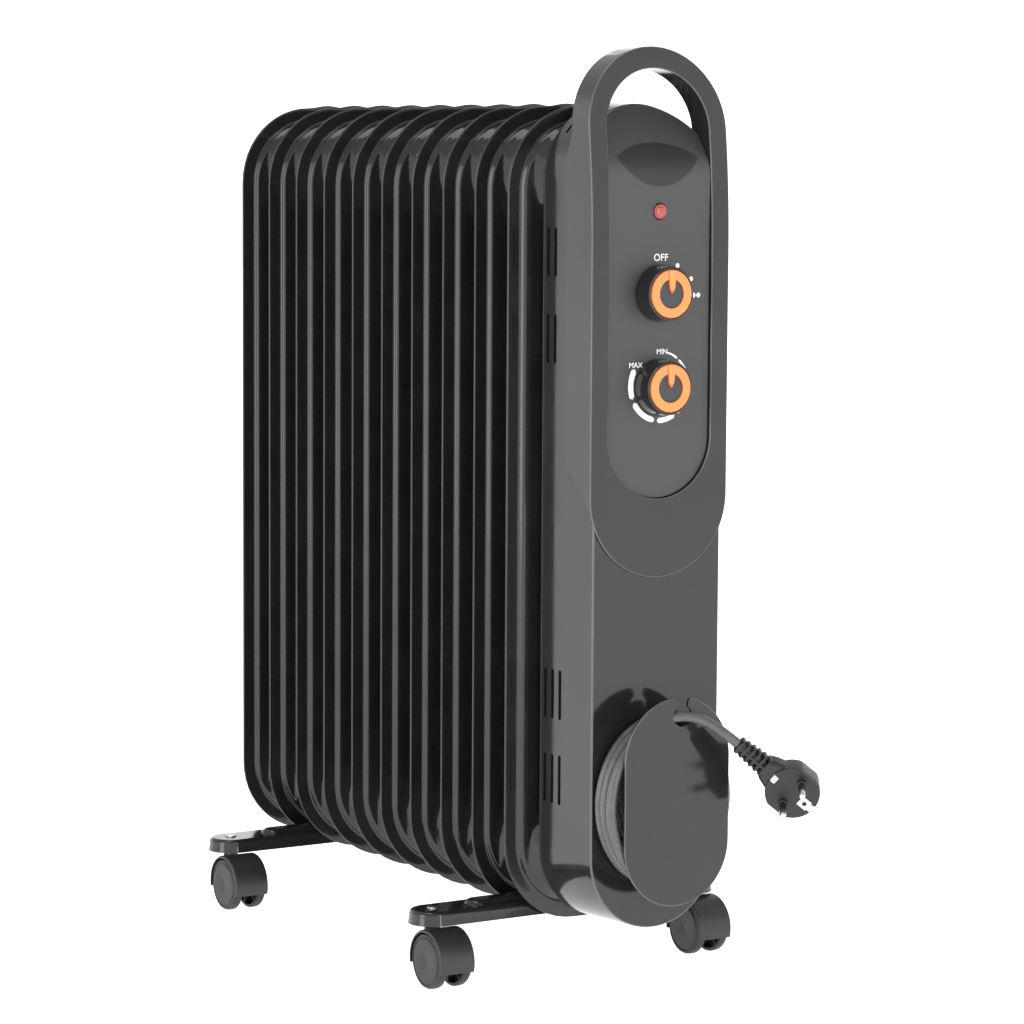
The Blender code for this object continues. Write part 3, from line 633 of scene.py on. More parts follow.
def make_housing(look, painted_highlight, enamel):
    # The rounded front edge's faces go to the second slot for a painted highlight.
    shell = mark_edges(housing_skin("housing", 0, RIM_Y), rounded_over)
    combine(shell, [housing_skin("hollow", WALL, RIM_Y + 4)])
    tools = [prism("panel_window", stadium(OPENING_HALF + GAP, OPENING_BOTTOM - GAP, OPENING_TOP),
                   FACE_Y - 5, FACE_Y + 4), wedge_tool()]
    for places, spans in (((35, 43.5), ((424, 457), (482, 515))), ((26.5, 35, 43.5), ((126, 160), (184, 218)))):
        tools += [vent(y, low, high) for y in places for low, high in spans]
    tools += [crown_slot(y, side * 18, side * 52) for y in (26, 33, 40) for side in (-1, 1)]
    combine(shell, tools)
    settle(shell, look, "heater", ["front_housing"], angle=30, edge=painted_highlight)
    plate = slab("back_plate", RIM_HALF, HOUSING_BOTTOM, HOUSING_TOP, RIM_Y + 0.5, RIM_Y + 2.0, 0.4, 0.4)
    settle(plate, enamel, "heater", ["mounting_plate"])


# ---------------------------------------------------------------- handle frame and panel

def ring_solid(name, y_front, y_back, grow=0.0, front_round=0.9, steps=32):
    """Tall rounded ring with rounded front edges, outside and inside."""
    outer_half, inner_half = FRAME_HALF + grow, OPENING_HALF - grow
    section = [(0.0, y_back)] + [(inset, y_front + front_round - drop) for inset, drop in quarter(front_round, 5)]
    outer = []
    inner = []
    for inset, y in section:
        wide = stadium(outer_half - inset, FRAME_BOTTOM - grow + inset, FRAME_TOP + grow - inset, steps=steps)
        outer.append([(x, y, z) for x, z in wide])
        narrow = stadium(inner_half + inset, OPENING_BOTTOM + grow - inset, OPENING_TOP - grow + inset,
                         steps=steps)
        inner.append([(x, y, z) for x, z in narrow])
    return loft(name, outer + list(reversed(inner)), closed=True)


def make_frame(look, painted_highlight):
    ring = ring_solid("loop_handle", FRAME_FRONT, 22)
    side = [(-30, 270), (-11, 270), (-11, 330), (-8.5, 331), (17.2, 358), (18.2, 366), (20.5, 545), (19.8, 553),
            (17.8, 560), (14.5, 566.5), (11, 572), (8.6, 577), (FRAME_BACK, 583), (FRAME_BACK, 650), (-30, 650)]
    combine(ring, [side_prism("frame_side", side, 80)], 'INTERSECT')
    hollow = stadium(RIM_HALF + 0.35, HOUSING_BOTTOM - 1, SHOULDER_Z + 4 + RIM_HALF)
    hollow = [(x, min(z, SHOULDER_Z + 4)) for x, z in hollow if z < SHOULDER_Z + 6]
    inner = prism("frame_hollow", [(-RIM_HALF - 0.35, SHOULDER_Z + 4), (-RIM_HALF - 0.35, 100),
                                   (RIM_HALF + 0.35, 100), (RIM_HALF + 0.35, SHOULDER_Z + 4)], -11, 60)
    combine(ring, [inner])
    soften(ring, 0.35, 2, 50)
    # Faces on the softened front edges go to the second slot for a painted highlight.
    mark_edges(ring, lambda center, normal: rounded_over(center, normal) and center.y < FRAME_FRONT + 1.2)
    cut_level(ring, range(LEAN_START, FRAME_TOP, 9))
    for vertex in ring.data.vertices:
        above = max(0.0, vertex.co.z - LEAN_START) / (FRAME_TOP - LEAN_START)
        vertex.co.y += LOOP_LEAN * above ** 2
    settle(ring, look, "heater", ["handle_frame"], angle=32, edge=painted_highlight)


def panel_line(shift):
    """The panel's face from bottom to top, in YZ: upright, a soft break, then leaning back."""
    lean = math.atan2(SLOPE_BACK - PANEL_Y - 8, SLOPE_TOP - BREAK_Z - 8)
    line = [(PANEL_Y + shift, OPENING_BOTTOM - 5), (PANEL_Y + shift, 430), (PANEL_Y + shift, BREAK_Z - 13)]
    radius = 26
    start_z = BREAK_Z - 13
    for step in range(1, 9):
        angle = lean * step / 8
        y = PANEL_Y + radius * (1 - math.cos(angle)) + shift * math.cos(angle)
        line.append((y, start_z + radius * math.sin(angle) - shift * math.sin(angle)))
    y, z = line[-1]
    run = (SLOPE_TOP + 4 - z) / math.cos(lean)
    line.append((y + run * math.sin(lean), z + run * math.cos(lean)))
    return line


def panel_sheet(name, front_shift, back_shift):
    side = panel_line(front_shift) + list(reversed(panel_line(back_shift)))
    return side_prism(name, side, 60)


def make_panel(look, dark, painted_highlight):
    panel = panel_sheet("dial_panel", 0, 3)
    inner = prism("panel_edge", stadium(OPENING_HALF - GAP, OPENING_BOTTOM + GAP, OPENING_TOP - GAP), -40, 60)
    crown = prism("panel_crown", stadium(FACE_HALF + 1, HOUSING_BOTTOM, HOUSING_TOP - 1.5), -40, 60)
    combine(panel, [inner], 'INTERSECT')
    combine(panel, [crown], 'INTERSECT')
    holes = [rod("hole", (0, -20, z), (0, 0, z), radius) for z, radius in
             ((POWER_Z, 4.2), (THERMOSTAT_Z, 4.2), (INDICATOR_Z, 5.6))]
    combine(panel, holes)
    soften(panel, 0.35, 2, 50)
    settle(panel, look, "heater", ["control_panel"])
    inlay = panel_sheet("blank_inlay_cover", -0.9, -0.1)
    combine(inlay, [prism("half_moon", half_moon(0), -40, 40)], 'INTERSECT')
    soften(inlay, 0.45, 3, 40)
    # The inlay's border faces go to the second slot for a painted highlight.
    mark_edges(inlay, lambda center, normal: abs(normal.y) < 0.78)
    settle(inlay, dark, "heater", ["blank_inlay"], edge=painted_highlight)


def half_moon(inset):
    """Outline of the inlay: a shallow arch above, a deep one below."""
    points = []
    half, rise, sag = 32 - inset * 1.6, 9.5 - inset, 19 - inset
    for height, steps in ((rise, range(25)), (-sag, range(23, 0, -1))):
        for step in steps:
            across = 2 * step / 24 - 1
            points.append((half * across, BREAK_Z + height * (1 - abs(across) ** 2.2)))
    return points


# ---------------------------------------------------------------- dials and lamp

def flat_shape(name, outline, y, thick=0.08):
    """Thin print on the panel's face, from an XZ outline."""
    return prism(name, outline, y - thick, y)


def arc_band(radius, turn_from, turn_to, half_from, half_to, centre_z):
    """Outline of an arc band whose half width grows along it; turns are clockwise from upright."""
    outer, inner = [], []
    for step in range(17):
        share = step / 16
        turn = math.radians(90 - (turn_from + (turn_to - turn_from) * share))
        half = half_from + (half_to - half_from) * share
        nearness = min(share, 1 - share) * abs(math.radians(turn_to - turn_from)) * radius
        if nearness < half:
            half *= math.sqrt(max(0.02, 1 - (1 - nearness / half) ** 2))
        outer.append(((radius + half) * math.cos(turn), centre_z + (radius + half) * math.sin(turn)))
        inner.append(((radius - half) * math.cos(turn), centre_z + (radius - half) * math.sin(turn)))
    return outer + list(reversed(inner))


def dot(x, z, radius=1.6):
    return [(x + radius * math.cos(math.radians(20 * i)), z + radius * math.sin(math.radians(20 * i)))
            for i in range(18)]


def dial_word(word, x, z, size):
    """Generic dial word as a flat mesh on the panel."""
    curve = bpy.data.curves.new("word", 'FONT')
    curve.body = word
    curve.size = size
    curve.align_x = 'CENTER'
    curve.align_y = 'CENTER'
    curve.extrude = 0.04
    curve.offset = 0.05 * size / 4
    item = bpy.data.objects.new("word", curve)
    bpy.context.scene.collection.objects.link(item)
    bpy.context.view_layer.update()
    graph = bpy.context.evaluated_depsgraph_get()
    mesh = bpy.data.meshes.new_from_object(item.evaluated_get(graph))
    bpy.data.objects.remove(item, do_unlink=True)
    mesh.transform(Matrix.Translation((x, PANEL_Y - 0.05, z)) @ Matrix.Rotation(math.radians(90), 4, 'X'))
    flat = bpy.data.objects.new("dial_word_" + word.lower(), mesh)
    bpy.context.scene.collection.objects.link(flat)
    return flat


def make_prints(look):
    items = [dial_word("OFF", 1.3, POWER_Z + 23.4, 6.6), dial_word("MIN", 2.9, THERMOSTAT_Z + 23.4, 5.0),
             dial_word("MAX", -18.2, THERMOSTAT_Z + 14.8, 5.0)]
    for x, z in ((14.7, 18.1), (25.8, 9.1), (28.0, -1.8), (31.8, -1.8)):
        items.append(flat_shape("dot", dot(x, POWER_Z + z), PANEL_Y))
    bands = ((15, 38, 0.6, 0.8), (42, 66, 0.8, 1.0), (70, 103, 1.0, 1.25), (107, 143, 1.25, 1.5),
             (148, 184, 1.6, 1.8), (190, 242, 1.8, 1.95), (249, 300, 2.0, 2.1))
    for turn_from, turn_to, half_from, half_to in bands:
        outline = arc_band(BAND_RADIUS, turn_from, turn_to, half_from, half_to, THERMOSTAT_Z + BAND_SHIFT[1])
        items.append(flat_shape("band", [(x + BAND_SHIFT[0], z) for x, z in outline], PANEL_Y))
    settle(join("dial_marks", items), look, "heater")


def make_dial(name, z, skirt_look, ring_look, ring_painted_shade, disc_look, steel):
    body = name + "_dial"
    base = PANEL_Y - 0.5
    front = -24.6
    reach = base - front
    skirt = [(0, reach - 1.6), (14, reach - 1.6), (16.4, reach - 1.5), (16.5, reach - 0.3), (16.7, reach),
             (17.2, reach), (17.8, reach - 0.35), (18.1, reach - 1.1), (18.5, 6), (18.8, 2.2), (19.0, 1.0),
             (18.8, 0.2), (18.4, 0), (17.2, 0), (17.0, 2), (16.6, reach - 4), (4.5, reach - 4), (4.3, 0.2),
             (3.3, 0.2), (3.3, reach - 4.5), (0, reach - 4.5)]
    knob = turned(name + "_skirt", skirt, (0, base, z), (0, -1, 0), 96)
    settle(knob, skirt_look, body, [name + "_knob"])
    band = [(16.0, reach - 1.3), (16.0, reach + 0.3), (15.6, reach + 0.75), (15.0, reach + 0.9),
            (10.2, reach + 0.9), (9.7, reach + 0.65), (9.5, reach + 0.2), (9.5, reach - 1.3)]
    ring = turned(name + "_band", band, (0, base, z), (0, -1, 0), 96)
    top = base - reach - 1.9
    loops = []
    for half, tip, y in ((2.7, 0.2, top + 1.6), (2.5, 0.5, top + 0.3), (1.9, 1.2, top), (0.15, 2.2, top - 0.25)):
        outline = [(half, 15.4), (half * 0.96, 9), (half * 0.8, 4.5)]
        outline += [(half * 0.75 * math.cos(a), tip + 1.6 + 1.9 * (1 - math.sin(a))) for a in
                    [math.radians(30 * i) for i in range(1, 3)]]
        outline.append((0, tip))
        outline += [(-x, up) for x, up in reversed(outline[:-1])]
        loops.append([(x, y, z + up) for x, up in outline])
    pointer = loft("pointer", loops)
    # The sides of the ring and pointer go to the second slot for painted shade in a deeper orange.
    ring = mark_edges(join(name + "_dial_ring", [ring, pointer]), lambda center, normal: abs(normal.y) < 0.8)
    settle(ring, ring_look, body, [name + "_knob_ring"], angle=30, edge=ring_painted_shade)
    disc = [(0, reach + 0.25), (8.6, reach + 0.25), (9.2, reach - 0.05), (9.3, reach - 1.4), (0, reach - 1.4)]
    settle(turned(name + "_disc", disc, (0, base, z), (0, -1, 0), 64), disc_look, body)
    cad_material(name + "_shaft", steel)


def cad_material(node, look):
    """A CAD node that stays as it is, with a finished material."""
    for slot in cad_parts[node].material_slots:
        slot.material = look


def make_lamp(lens_look, dark):
    lens = [(0, 6.9), (1.8, 6.8), (3.3, 6.4), (3.5, 6.1), (3.8, 6.0), (4.2, 6.3), (4.7, 6.2), (5.0, 5.6),
            (5.0, 0), (0, 0)]
    settle(turned("indicator_window", lens, (0, PANEL_Y + 5, INDICATOR_Z), (0, -1, 0), 48), lens_look,
           "heater", ["indicator_lens"], angle=50)
    bezel = [(5.1, 0.4), (5.4, 0.6), (5.8, 0.45), (6.0, 0.15), (5.6, 0.05), (5.6, -3), (5.1, -3)]
    settle(turned("indicator_bezel", bezel, (0, PANEL_Y, INDICATOR_Z), (0, -1, 0), 48), dark, "heater")


# ---------------------------------------------------------------- cord storage, cord and plug

def make_storage(look, painted_highlight):
    plate = slab("storage_cover", PLATE_HALF, PLATE_BOTTOM, PLATE_TOP, PLATE_FRONT, PLATE_BACK, 0.8, 0.5,
                 steps=36)
    # The plate's rounded rim faces go to the second slot for a painted highlight.
    mark_edges(plate, rounded_over)
    before, behind = PLATE_FRONT - 9, PLATE_BACK + 9
    hole = rod("notch", (NOTCH_X, before, NOTCH_Z), (NOTCH_X, behind, NOTCH_Z), NOTCH_RADIUS, sides=48)
    throat_half = 4.2
    flare = [(throat_half, NOTCH_Z + 5), (throat_half, PLATE_TOP - 4.5), (throat_half + 0.6, PLATE_TOP - 2.4),
             (throat_half + 2.2, PLATE_TOP - 0.9), (throat_half + 5, PLATE_TOP + 2)]
    outline = [(NOTCH_X + x, z) for x, z in flare] + [(NOTCH_X - x, z) for x, z in reversed(flare)]
    throat = prism("throat", outline, before, behind)
    combine(plate, [hole, throat])
    soften(plate, 0.3, 2, 50)
    settle(plate, look, "heater", ["storage_plate"], edge=painted_highlight)
    coil_inner = 62.5 - 14 - 0.6
    spool_high = COIL_Z + coil_inner
    spool = slab("cord_spool", 16, 118, spool_high, PLATE_BACK + GAP, FACE_Y - GAP, 0.3, 0.3)
    settle(spool, look, "heater", ["storage_spool"])


def cord_route():
    """The whole cord, from the gland's tip to the plug's relief, as points in millimetres."""
    turns = ((41.3, 48.8, -16.9), (48.6, 56.1, -16.9), (42.2, 49.6, -24.0), (49.4, 56.9, -24.0),
             (49.4, 56.9, -31.2))
    points = [GLAND_TIP, GLAND_TIP + Vector((-6.5, 0.5, -0.2))]
    for step in range(COIL_STEPS + 1):
        share = step / STEPS_PER_TURN
        travel = math.radians(COIL_START) - 2 * math.pi * share
        index = min(3, int(share))
        blend = min(1.0, max(0.0, (share - index - 0.8) / 0.2))
        here, after = turns[index], turns[index + 1]
        blend = blend * blend * (3 - 2 * blend)
        a, b, y = [p + (q - p) * blend for p, q in zip(here, after)]
        opening = math.sin(math.pi / 2 * min(1.0, share / COIL_OPENS))
        grown = COIL_FIRST + (1 - COIL_FIRST) * opening
        points.append(Vector((a * grown * math.cos(travel), y, COIL_Z + b * grown * math.sin(travel))))
    points += [Vector((-26, -30.6, 179)), Vector((-16, -30.8, 185.6)), Vector((-7, -32.6, 189.8)),
               Vector((1.5, -36.3, 191.8)), Vector((9, -42.2, 191.8)), Vector((16, -50, 188.2)),
               RELIEF_START - PLUG_ALONG * 14, RELIEF_START - PLUG_ALONG * 6, RELIEF_START - PLUG_ALONG * 0.6]
    return points


def tube(name, points, radius, sides=16):
    """Round tube along points, with its frame carried along so that it doesn't twist."""
    loops = []
    normal = None
    for index, point in enumerate(points):
        ahead = points[min(index + 1, len(points) - 1)] - points[max(index - 1, 0)]
        ahead.normalize()
        if normal is None:
            normal = ahead.orthogonal().normalized()
        normal = (normal - ahead * normal.dot(ahead)).normalized()
        across = ahead.cross(normal)
        loops.append([point + (normal * math.cos(a) + across * math.sin(a)) * radius
                      for a in [2 * math.pi * i / sides for i in range(sides)]])
    return loft(name, loops)


def make_gland(look):
    """Tapered strain relief with ring grooves."""
    profile = [(0, 20), (4.2, 20), (4.4, 19.4)]
    for ring in range(5):
        low = 17.6 - 3.2 * ring
        radius = 4.5 + 0.32 * ring
        profile += [(radius, low + 0.8), (radius - 0.75, low), (radius - 0.75, low - 0.9), (radius + 0.2, low - 1.6)]
    profile += [(6, 0.6), (6, -5), (0, -5)]
    start = Vector((22, GLAND_TIP.y, GLAND_TIP.z))
    relief = turned("gland_cone", profile, start, (-1, 0, 0), 32)
    foot = soften(block("foot", (20, GLAND_TIP.y - 6.5, GLAND_TIP.z - 6.5),
                        (26, FACE_Y - GAP, GLAND_TIP.z + 6.5)), 0.8, 3)
    settle(join("cord_relief", [relief, foot]), look, "heater", ["cord_gland"])


def plug_frame():
    """The plug's centre and its axes: face normal, along the cord, across."""
    face = (PLUG_FACE - PLUG_ALONG * PLUG_FACE.dot(PLUG_ALONG)).normalized()
    centre = RELIEF_START + PLUG_ALONG * PLUG_REACH + face * (PLUG_DEPTH * 0.55)
    return centre, face, face.cross(PLUG_ALONG)


def plug_outline(scale=1.0):
    """Round face with flats beside the pins; (along, across)."""
    points = []
    for step in range(96):
        angle = 2 * math.pi * step / 96
        radius = PLUG_RADIUS * scale
        along, across = radius * math.cos(angle), radius * math.sin(angle)
        limit = PLUG_RADIUS * 0.93 * scale
        across = max(-limit, min(limit, across))
        points.append((along, across))
    return points


def make_plug(rubber, steel, pale):
    centre, face, across = plug_frame()
    turn = Matrix((PLUG_ALONG, across, face)).transposed().to_4x4()
    to_plug = Matrix.Translation(centre) @ turn
    loops = []
    for scale, height in ((0.86, -PLUG_DEPTH), (0.95, -PLUG_DEPTH + 0.7), (0.985, -PLUG_DEPTH + 2), (1.0, -8),
                          (1.0, -1.4), (0.985, -0.5), (0.94, 0)):
        loops.append([(a, b, height) for a, b in plug_outline(scale)])
    body = loft("plug_disc", loops)
    cuts = []
    for sign in (-1, 1):
        slot = block("earth_slot", (sign * 15.2 - 3.4 * (sign < 0) - 0.2 * (sign > 0), -2.9, -12),
                     (sign * 15.2 + 3.4 * (sign > 0) + 0.2 * (sign < 0), 2.9, 2))
        cuts.append(slot)
        cuts.append(block("side_step", (9.5 if sign > 0 else 7, sign * 18.6 - 2.4, -20),
                          (15.5 if sign > 0 else 12, sign * 18.6 + 2.4, 3)))
    combine(body, cuts)
    axis = -PLUG_DEPTH * 0.55
    neck_loops = []
    for along, half_wide, half_thick in ((-PLUG_REACH + 23.5, 6.9, 6.6), (-PLUG_REACH + 24.3, 7.6, 7.2),
                                         (-22, 8.6, 7.4), (-17, 10.2, 7.8), (-9, 12, 8)):
        outline = stadium(half_wide, -half_thick, half_thick, min(half_thick, half_wide) * 0.55, steps=6)
        neck_loops.append([(along, a, axis + b) for a, b in outline])
    neck = loft("plug_neck", neck_loops)
    relief = [tube("relief_core", [Vector((-PLUG_REACH - 0.2, 0, axis)), Vector((-PLUG_REACH + 12, 0, axis)),
                                   Vector((-PLUG_REACH + 24, 0, axis))], 4.5, 24)]
    for index in range(6):
        along = -PLUG_REACH + 1.3 + 4.4 * index
        half = 5.3 + 0.32 * index
        ribs = []
        for shift, size in ((-1.3, 0.9), (-0.7, 1.0), (0.7, 1.0), (1.3, 0.9)):
            outline = stadium(half * size, -half * size, half * size, half * 0.5, steps=6)
            ribs.append([(along + shift, a, axis + b) for a, b in outline])
        relief.append(loft("relief_rib", ribs))
    for side_a, side_b in ((0, 1), (0, -1), (1, 0), (-1, 0)):
        rail = []
        for along, half in ((-PLUG_REACH + 1, 5.1), (-PLUG_REACH + 24, 6.9)):
            mid_a, mid_b = side_a * (half - 0.7), side_b * (half - 0.7)
            rail.append([(along, mid_a + da, axis + mid_b + db) for da, db in
                         ((-0.75, -0.75), (0.75, -0.75), (0.75, 0.75), (-0.75, 0.75))])
        relief.append(loft("relief_rail", rail))
    collars = []
    for sign in (-1, 1):
        collar = [(0, 13), (2.3, 13), (2.5, 12.7), (2.5, 2.6), (3.2, 2.3), (3.4, -1), (0, -1)]
        collars.append(turned("pin_collar", collar, (0, sign * PIN_SPACING / 2, 0), (0, 0, 1), 32))
    whole = join("plug_shell", [body, neck] + relief + collars)
    whole.data.transform(to_plug)
    settle(whole, rubber, "heater", ["plug_body"], angle=32)
    for index, sign in enumerate((-1, 1)):
        profile = [(0, 19.2), (1.4, 19.0), (2.1, 18.2), (2.4, 17.0), (2.4, 11), (2.15, 10.9), (2.15, 2.4),
                   (2.4, 2.3), (2.4, 0.3), (0, 0.3)]
        pin = turned("contact_pin_%d" % (index + 1), profile, (0, sign * PIN_SPACING / 2, 0), (0, 0, 1), 32)
        pin.data.transform(to_plug)
        settle(pin, steel, "heater", ["plug_pin_%d" % (index + 1)])
    for index, sign in enumerate((-1, 1)):
        strip = soften(block("earth_strip_%d" % (index + 1), (sign * 15.9 - 1.7, -2.5, -9),
                             (sign * 15.9 + 1.7, 2.5, 0.9)),
                       0.35, 2)
        items = [strip]
        if sign > 0:
            ring = [(2.6, 0.5), (2.6, 1.1), (1.6, 1.1), (1.6, 0.5)]
            items.append(turned("earth_eye", ring, (10.6, 0, 0), (0, 0, 1), 32))
            tab = soften(block("earth_tab", (6.6, -3.6, 0.25), (14.4, 3.6, 0.7)), 0.2, 2)
            items.append(combine(tab, [rod("eye", (10.6, 0, -3), (10.6, 0, 3), 1.9)]))
        strip = join("earth_contact_%d" % (index + 1), items)
        strip.data.transform(to_plug)
        settle(strip, pale, "heater", ["plug_earth_contact_%d" % (index + 1)])


def make_cord(look):
    points = smooth_path(cord_route(), 3.0)
    for _ in range(CORD_SMOOTHING):
        inner = [(a + b * 2 + c) / 4 for a, b, c in zip(points[1:], points[2:], points[3:])]
        points = points[:2] + inner[:-1] + points[-2:]
    cord = tube("mains_cord", points, CORD_DIAMETER / 2)
    settle(cord, look, "heater", ["cord_coil", "cord_tail"], angle=60)


# ---------------------------------------------------------------- legs and castors

def leg_skin(name, y, stems, section):
    """Long body with round ends from (inset, z) steps, reaching from stem to stem."""
    loops = []
    for inset, z in section:
        outline = stadium(LEG_HALF - inset, stems[0] - LEG_HALF + inset, stems[1] + LEG_HALF - inset, steps=16)
        loops.append([(x, y + across, z) for across, x in outline])
    return loft(name, loops)


def make_leg(name, look, steel):
    """Pressed channel, open below, with a raised rib between its castors."""
    y = middle_of("castor_%s_left_stem" % name).y - SHIFT.y
    stems = STEM_PLACES[name]
    low = LEG_TOP - LEG_DEPTH
    section = [(-0.8, low), (-0.85, low + 0.4), (-0.3, low + 3), (0, LEG_TOP - 3.2)]
    section += [(inset, LEG_TOP - 3.2 + drop) for inset, drop in quarter(3.2, 6)][1:]
    leg = leg_skin(name + "_leg_shell", y, stems, section)
    rib_ends = (stems[0] + 20 + LEG_HALF, stems[1] - 20 - LEG_HALF)
    rib = leg_skin("rib", y, rib_ends, ((6.5, LEG_TOP - 1.2), (6.9, LEG_TOP + 0.4), (8.1, LEG_TOP + 1.9),
                                        (9.9, LEG_TOP + 2.8), (11.7, LEG_TOP + 3)))
    combine(leg, [rib], 'UNION')
    hollow = leg_skin("hollow", y, stems, ((0.7, low - 2), (1.3, low + 3), (1.6, LEG_TOP - 3.4),
                                           (3.4, LEG_TOP - 1.6)))
    holes = [rod("stem_hole", (x, y, 30), (x, y, 60), 4.4) for x in stems]
    holes += [rod("bolt_hole", (x, y, 30), (x, y, 60), 2.9) for x in (-HEADER_RADIUS - 3.2, HEADER_RADIUS + 3.2)]
    combine(leg, [hollow] + holes)
    settle(leg, look, "heater", [name + "_leg"], angle=30)
    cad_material(name + "_u_bolt", steel)


def make_castor(name, grained, disc_look, steel):
    stem_x, stem_y, _ = middle_of(name + "_stem") - SHIFT
    half = CASTOR_WIDTH / 2
    core_half = half - WHEEL_WIDTH - 0.6
    axle_y = stem_y - CASTOR_TRAIL
    shell = []
    for inset, x in ((1.3, -half), (0.5, -half + 0.3), (0, -half + 1.1), (0, half - 1.1), (0.5, half - 0.3),
                     (1.3, half)):
        radius = HOOD_RADIUS - inset
        shell.append([(stem_x + x, axle_y + radius * math.cos(a), WHEEL_RADIUS + radius * math.sin(a))
                      for a in [2 * math.pi * i / 72 for i in range(72)]])
    hood = loft(name + "_cover", shell)
    tools = []
    for side in (-1, 1):
        near = stem_x + side * core_half
        far = stem_x + side * (half + 5)
        tools.append(rod("pocket", (near, axle_y, WHEEL_RADIUS), (far, axle_y, WHEEL_RADIUS),
                         WHEEL_RADIUS + 0.8, edge=0.05, sides=72))
    tools.append(side_prism("below", [(axle_y - 40, -30), (axle_y + 40, -30), (axle_y + 40, 16),
                                      (axle_y - 40, 12)], 200))
    combine(hood, tools)
    axle_half = half - 2.4
    adds = [rod("axle", (stem_x - axle_half, axle_y, WHEEL_RADIUS), (stem_x + axle_half, axle_y, WHEEL_RADIUS), 2.1),
            turned("socket", [(0, 10), (4.9, 10), (5.5, 9.4), (5.6, 8.4), (7.2, 6), (8.2, 2), (8.2, 0), (0, 0)],
                   (stem_x, stem_y, HOOD_TOP - 8.8), (0, 0, 1), 48)]
    combine(hood, adds, 'UNION')
    soften(hood, 0.3, 2, 50)
    settle(hood, grained, name, [name + "_hood"], angle=40)
    stem = [(0, 13.5), (3.0, 13.5), (3.6, 12.9), (3.6, 0), (0, 0)]
    settle(turned(name + "_post", stem, (stem_x, stem_y, HOOD_TOP + 1.2 + GAP), (0, 0, 1), 40), steel,
           name, [name + "_stem"])
    rim = WHEEL_RADIUS
    profile = [(0, WHEEL_WIDTH - 1.3), (2, WHEEL_WIDTH - 1.2), (5, WHEEL_WIDTH - 0.6), (12, WHEEL_WIDTH),
               (15.2, WHEEL_WIDTH - 0.2), (16, WHEEL_WIDTH - 0.9), (16.5, WHEEL_WIDTH - 0.9),
               (17, WHEEL_WIDTH - 0.3), (18.2, WHEEL_WIDTH - 0.7), (rim - 0.2, WHEEL_WIDTH - 1.8),
               (rim, WHEEL_WIDTH - 3), (rim, 2.2), (rim - 0.3, 1.3), (rim - 0.9, 1), (rim - 2.2, 1),
               (rim - 2.7, WHEEL_WIDTH - 2.4), (5, WHEEL_WIDTH - 2.4), (4.7, 0.2), (2.6, 0),
               (2.6, WHEEL_WIDTH - 2.9), (0, WHEEL_WIDTH - 2.9)]
    for side, letter in ((-1, "a"), (1, "b")):
        node = name + "_wheel_" + letter
        hub_x = stem_x + side * (core_half + 0.5)
        wheel = [turned("tyre", profile, (hub_x, axle_y, WHEEL_RADIUS), (side, 0, 0), 72)]
        for spoke in range(6):
            rib = block("spoke", (hub_x + side * 3.2 - 2.6, -0.5, 4.2), (hub_x + side * 3.2 + 2.6, 0.5, 16.6))
            place = Matrix.Translation((0, axle_y, WHEEL_RADIUS))
            rib.data.transform(place @ Matrix.Rotation(math.radians(60 * spoke + 12), 4, 'X'))
            wheel.append(rib)
        wheel = join(node + "_tyre", wheel)
        settle(wheel, disc_look, node, [node], angle=30)


# ---------------------------------------------------------------- stage

def area_light(name, place, target, width, height, power, color=(1, 1, 1)):
    light = bpy.data.lights.new(name, 'AREA')
    light.shape = 'RECTANGLE'
    light.size = width
    light.size_y = height
    light.energy = power
    light.color = color
    item = bpy.data.objects.new(name, light)
    bpy.context.scene.collection.objects.link(item)
    item.location = place
    item.rotation_euler = (Vector(target) - Vector(place)).to_track_quat('-Z', 'Y').to_euler()
    return item


def make_world():
    """White towards the horizon, dim overhead, as in a studio with a low white backdrop."""
    world = bpy.data.worlds.new("studio")
    bpy.context.scene.world = world
    world.use_nodes = True
    tree = world.node_tree
    background = tree.nodes["Background"]
    place = tree.nodes.new("ShaderNodeTexCoord")
    split = tree.nodes.new("ShaderNodeSeparateXYZ")
    ramp = tree.nodes.new("ShaderNodeValToRGB")
    tree.links.new(place.outputs["Generated"], split.inputs["Vector"])
    tree.links.new(split.outputs["Z"], ramp.inputs["Fac"])
    stops = ramp.color_ramp.elements
    stops[0].position = 0.0
    stops[0].color = (1.0, 1.0, 1.0, 1.0)
    stops[1].position = 0.95
    stops[1].color = (0.35, 0.35, 0.35, 1.0)
    for position, level in ((0.30, 1.0), (0.46, 0.5), (0.8, 0.5)):
        stop = stops.new(position)
        stop.color = (level, level, level, 1.0)
    tree.links.new(ramp.outputs["Color"], background.inputs["Color"])
    background.inputs["Strength"].default_value = 1.6


def make_stage(floor_look):
    bm = bmesh.new()
    bmesh.ops.create_grid(bm, x_segments=2, y_segments=2, size=12.0)
    mesh = bpy.data.meshes.new("studio_floor")
    bm.to_mesh(mesh)
    bm.free()
    mesh.materials.append(floor_look)
    ground = bpy.data.objects.new("studio_floor", mesh)
    bpy.context.scene.collection.objects.link(ground)
    ground.location.z = -0.0005


def make_lights():
    middle = (0, 0, 0.32)
    area_light("left_panel", (-2.6, -0.5, 0.9), middle, 1.1, 2.0, 24)
    area_light("front_strip", (0.35, -3.0, 0.9), middle, 0.25, 2.0, 12)
    area_light("top_panel", (-0.4, 0.2, 2.6), middle, 1.6, 0.6, 8)


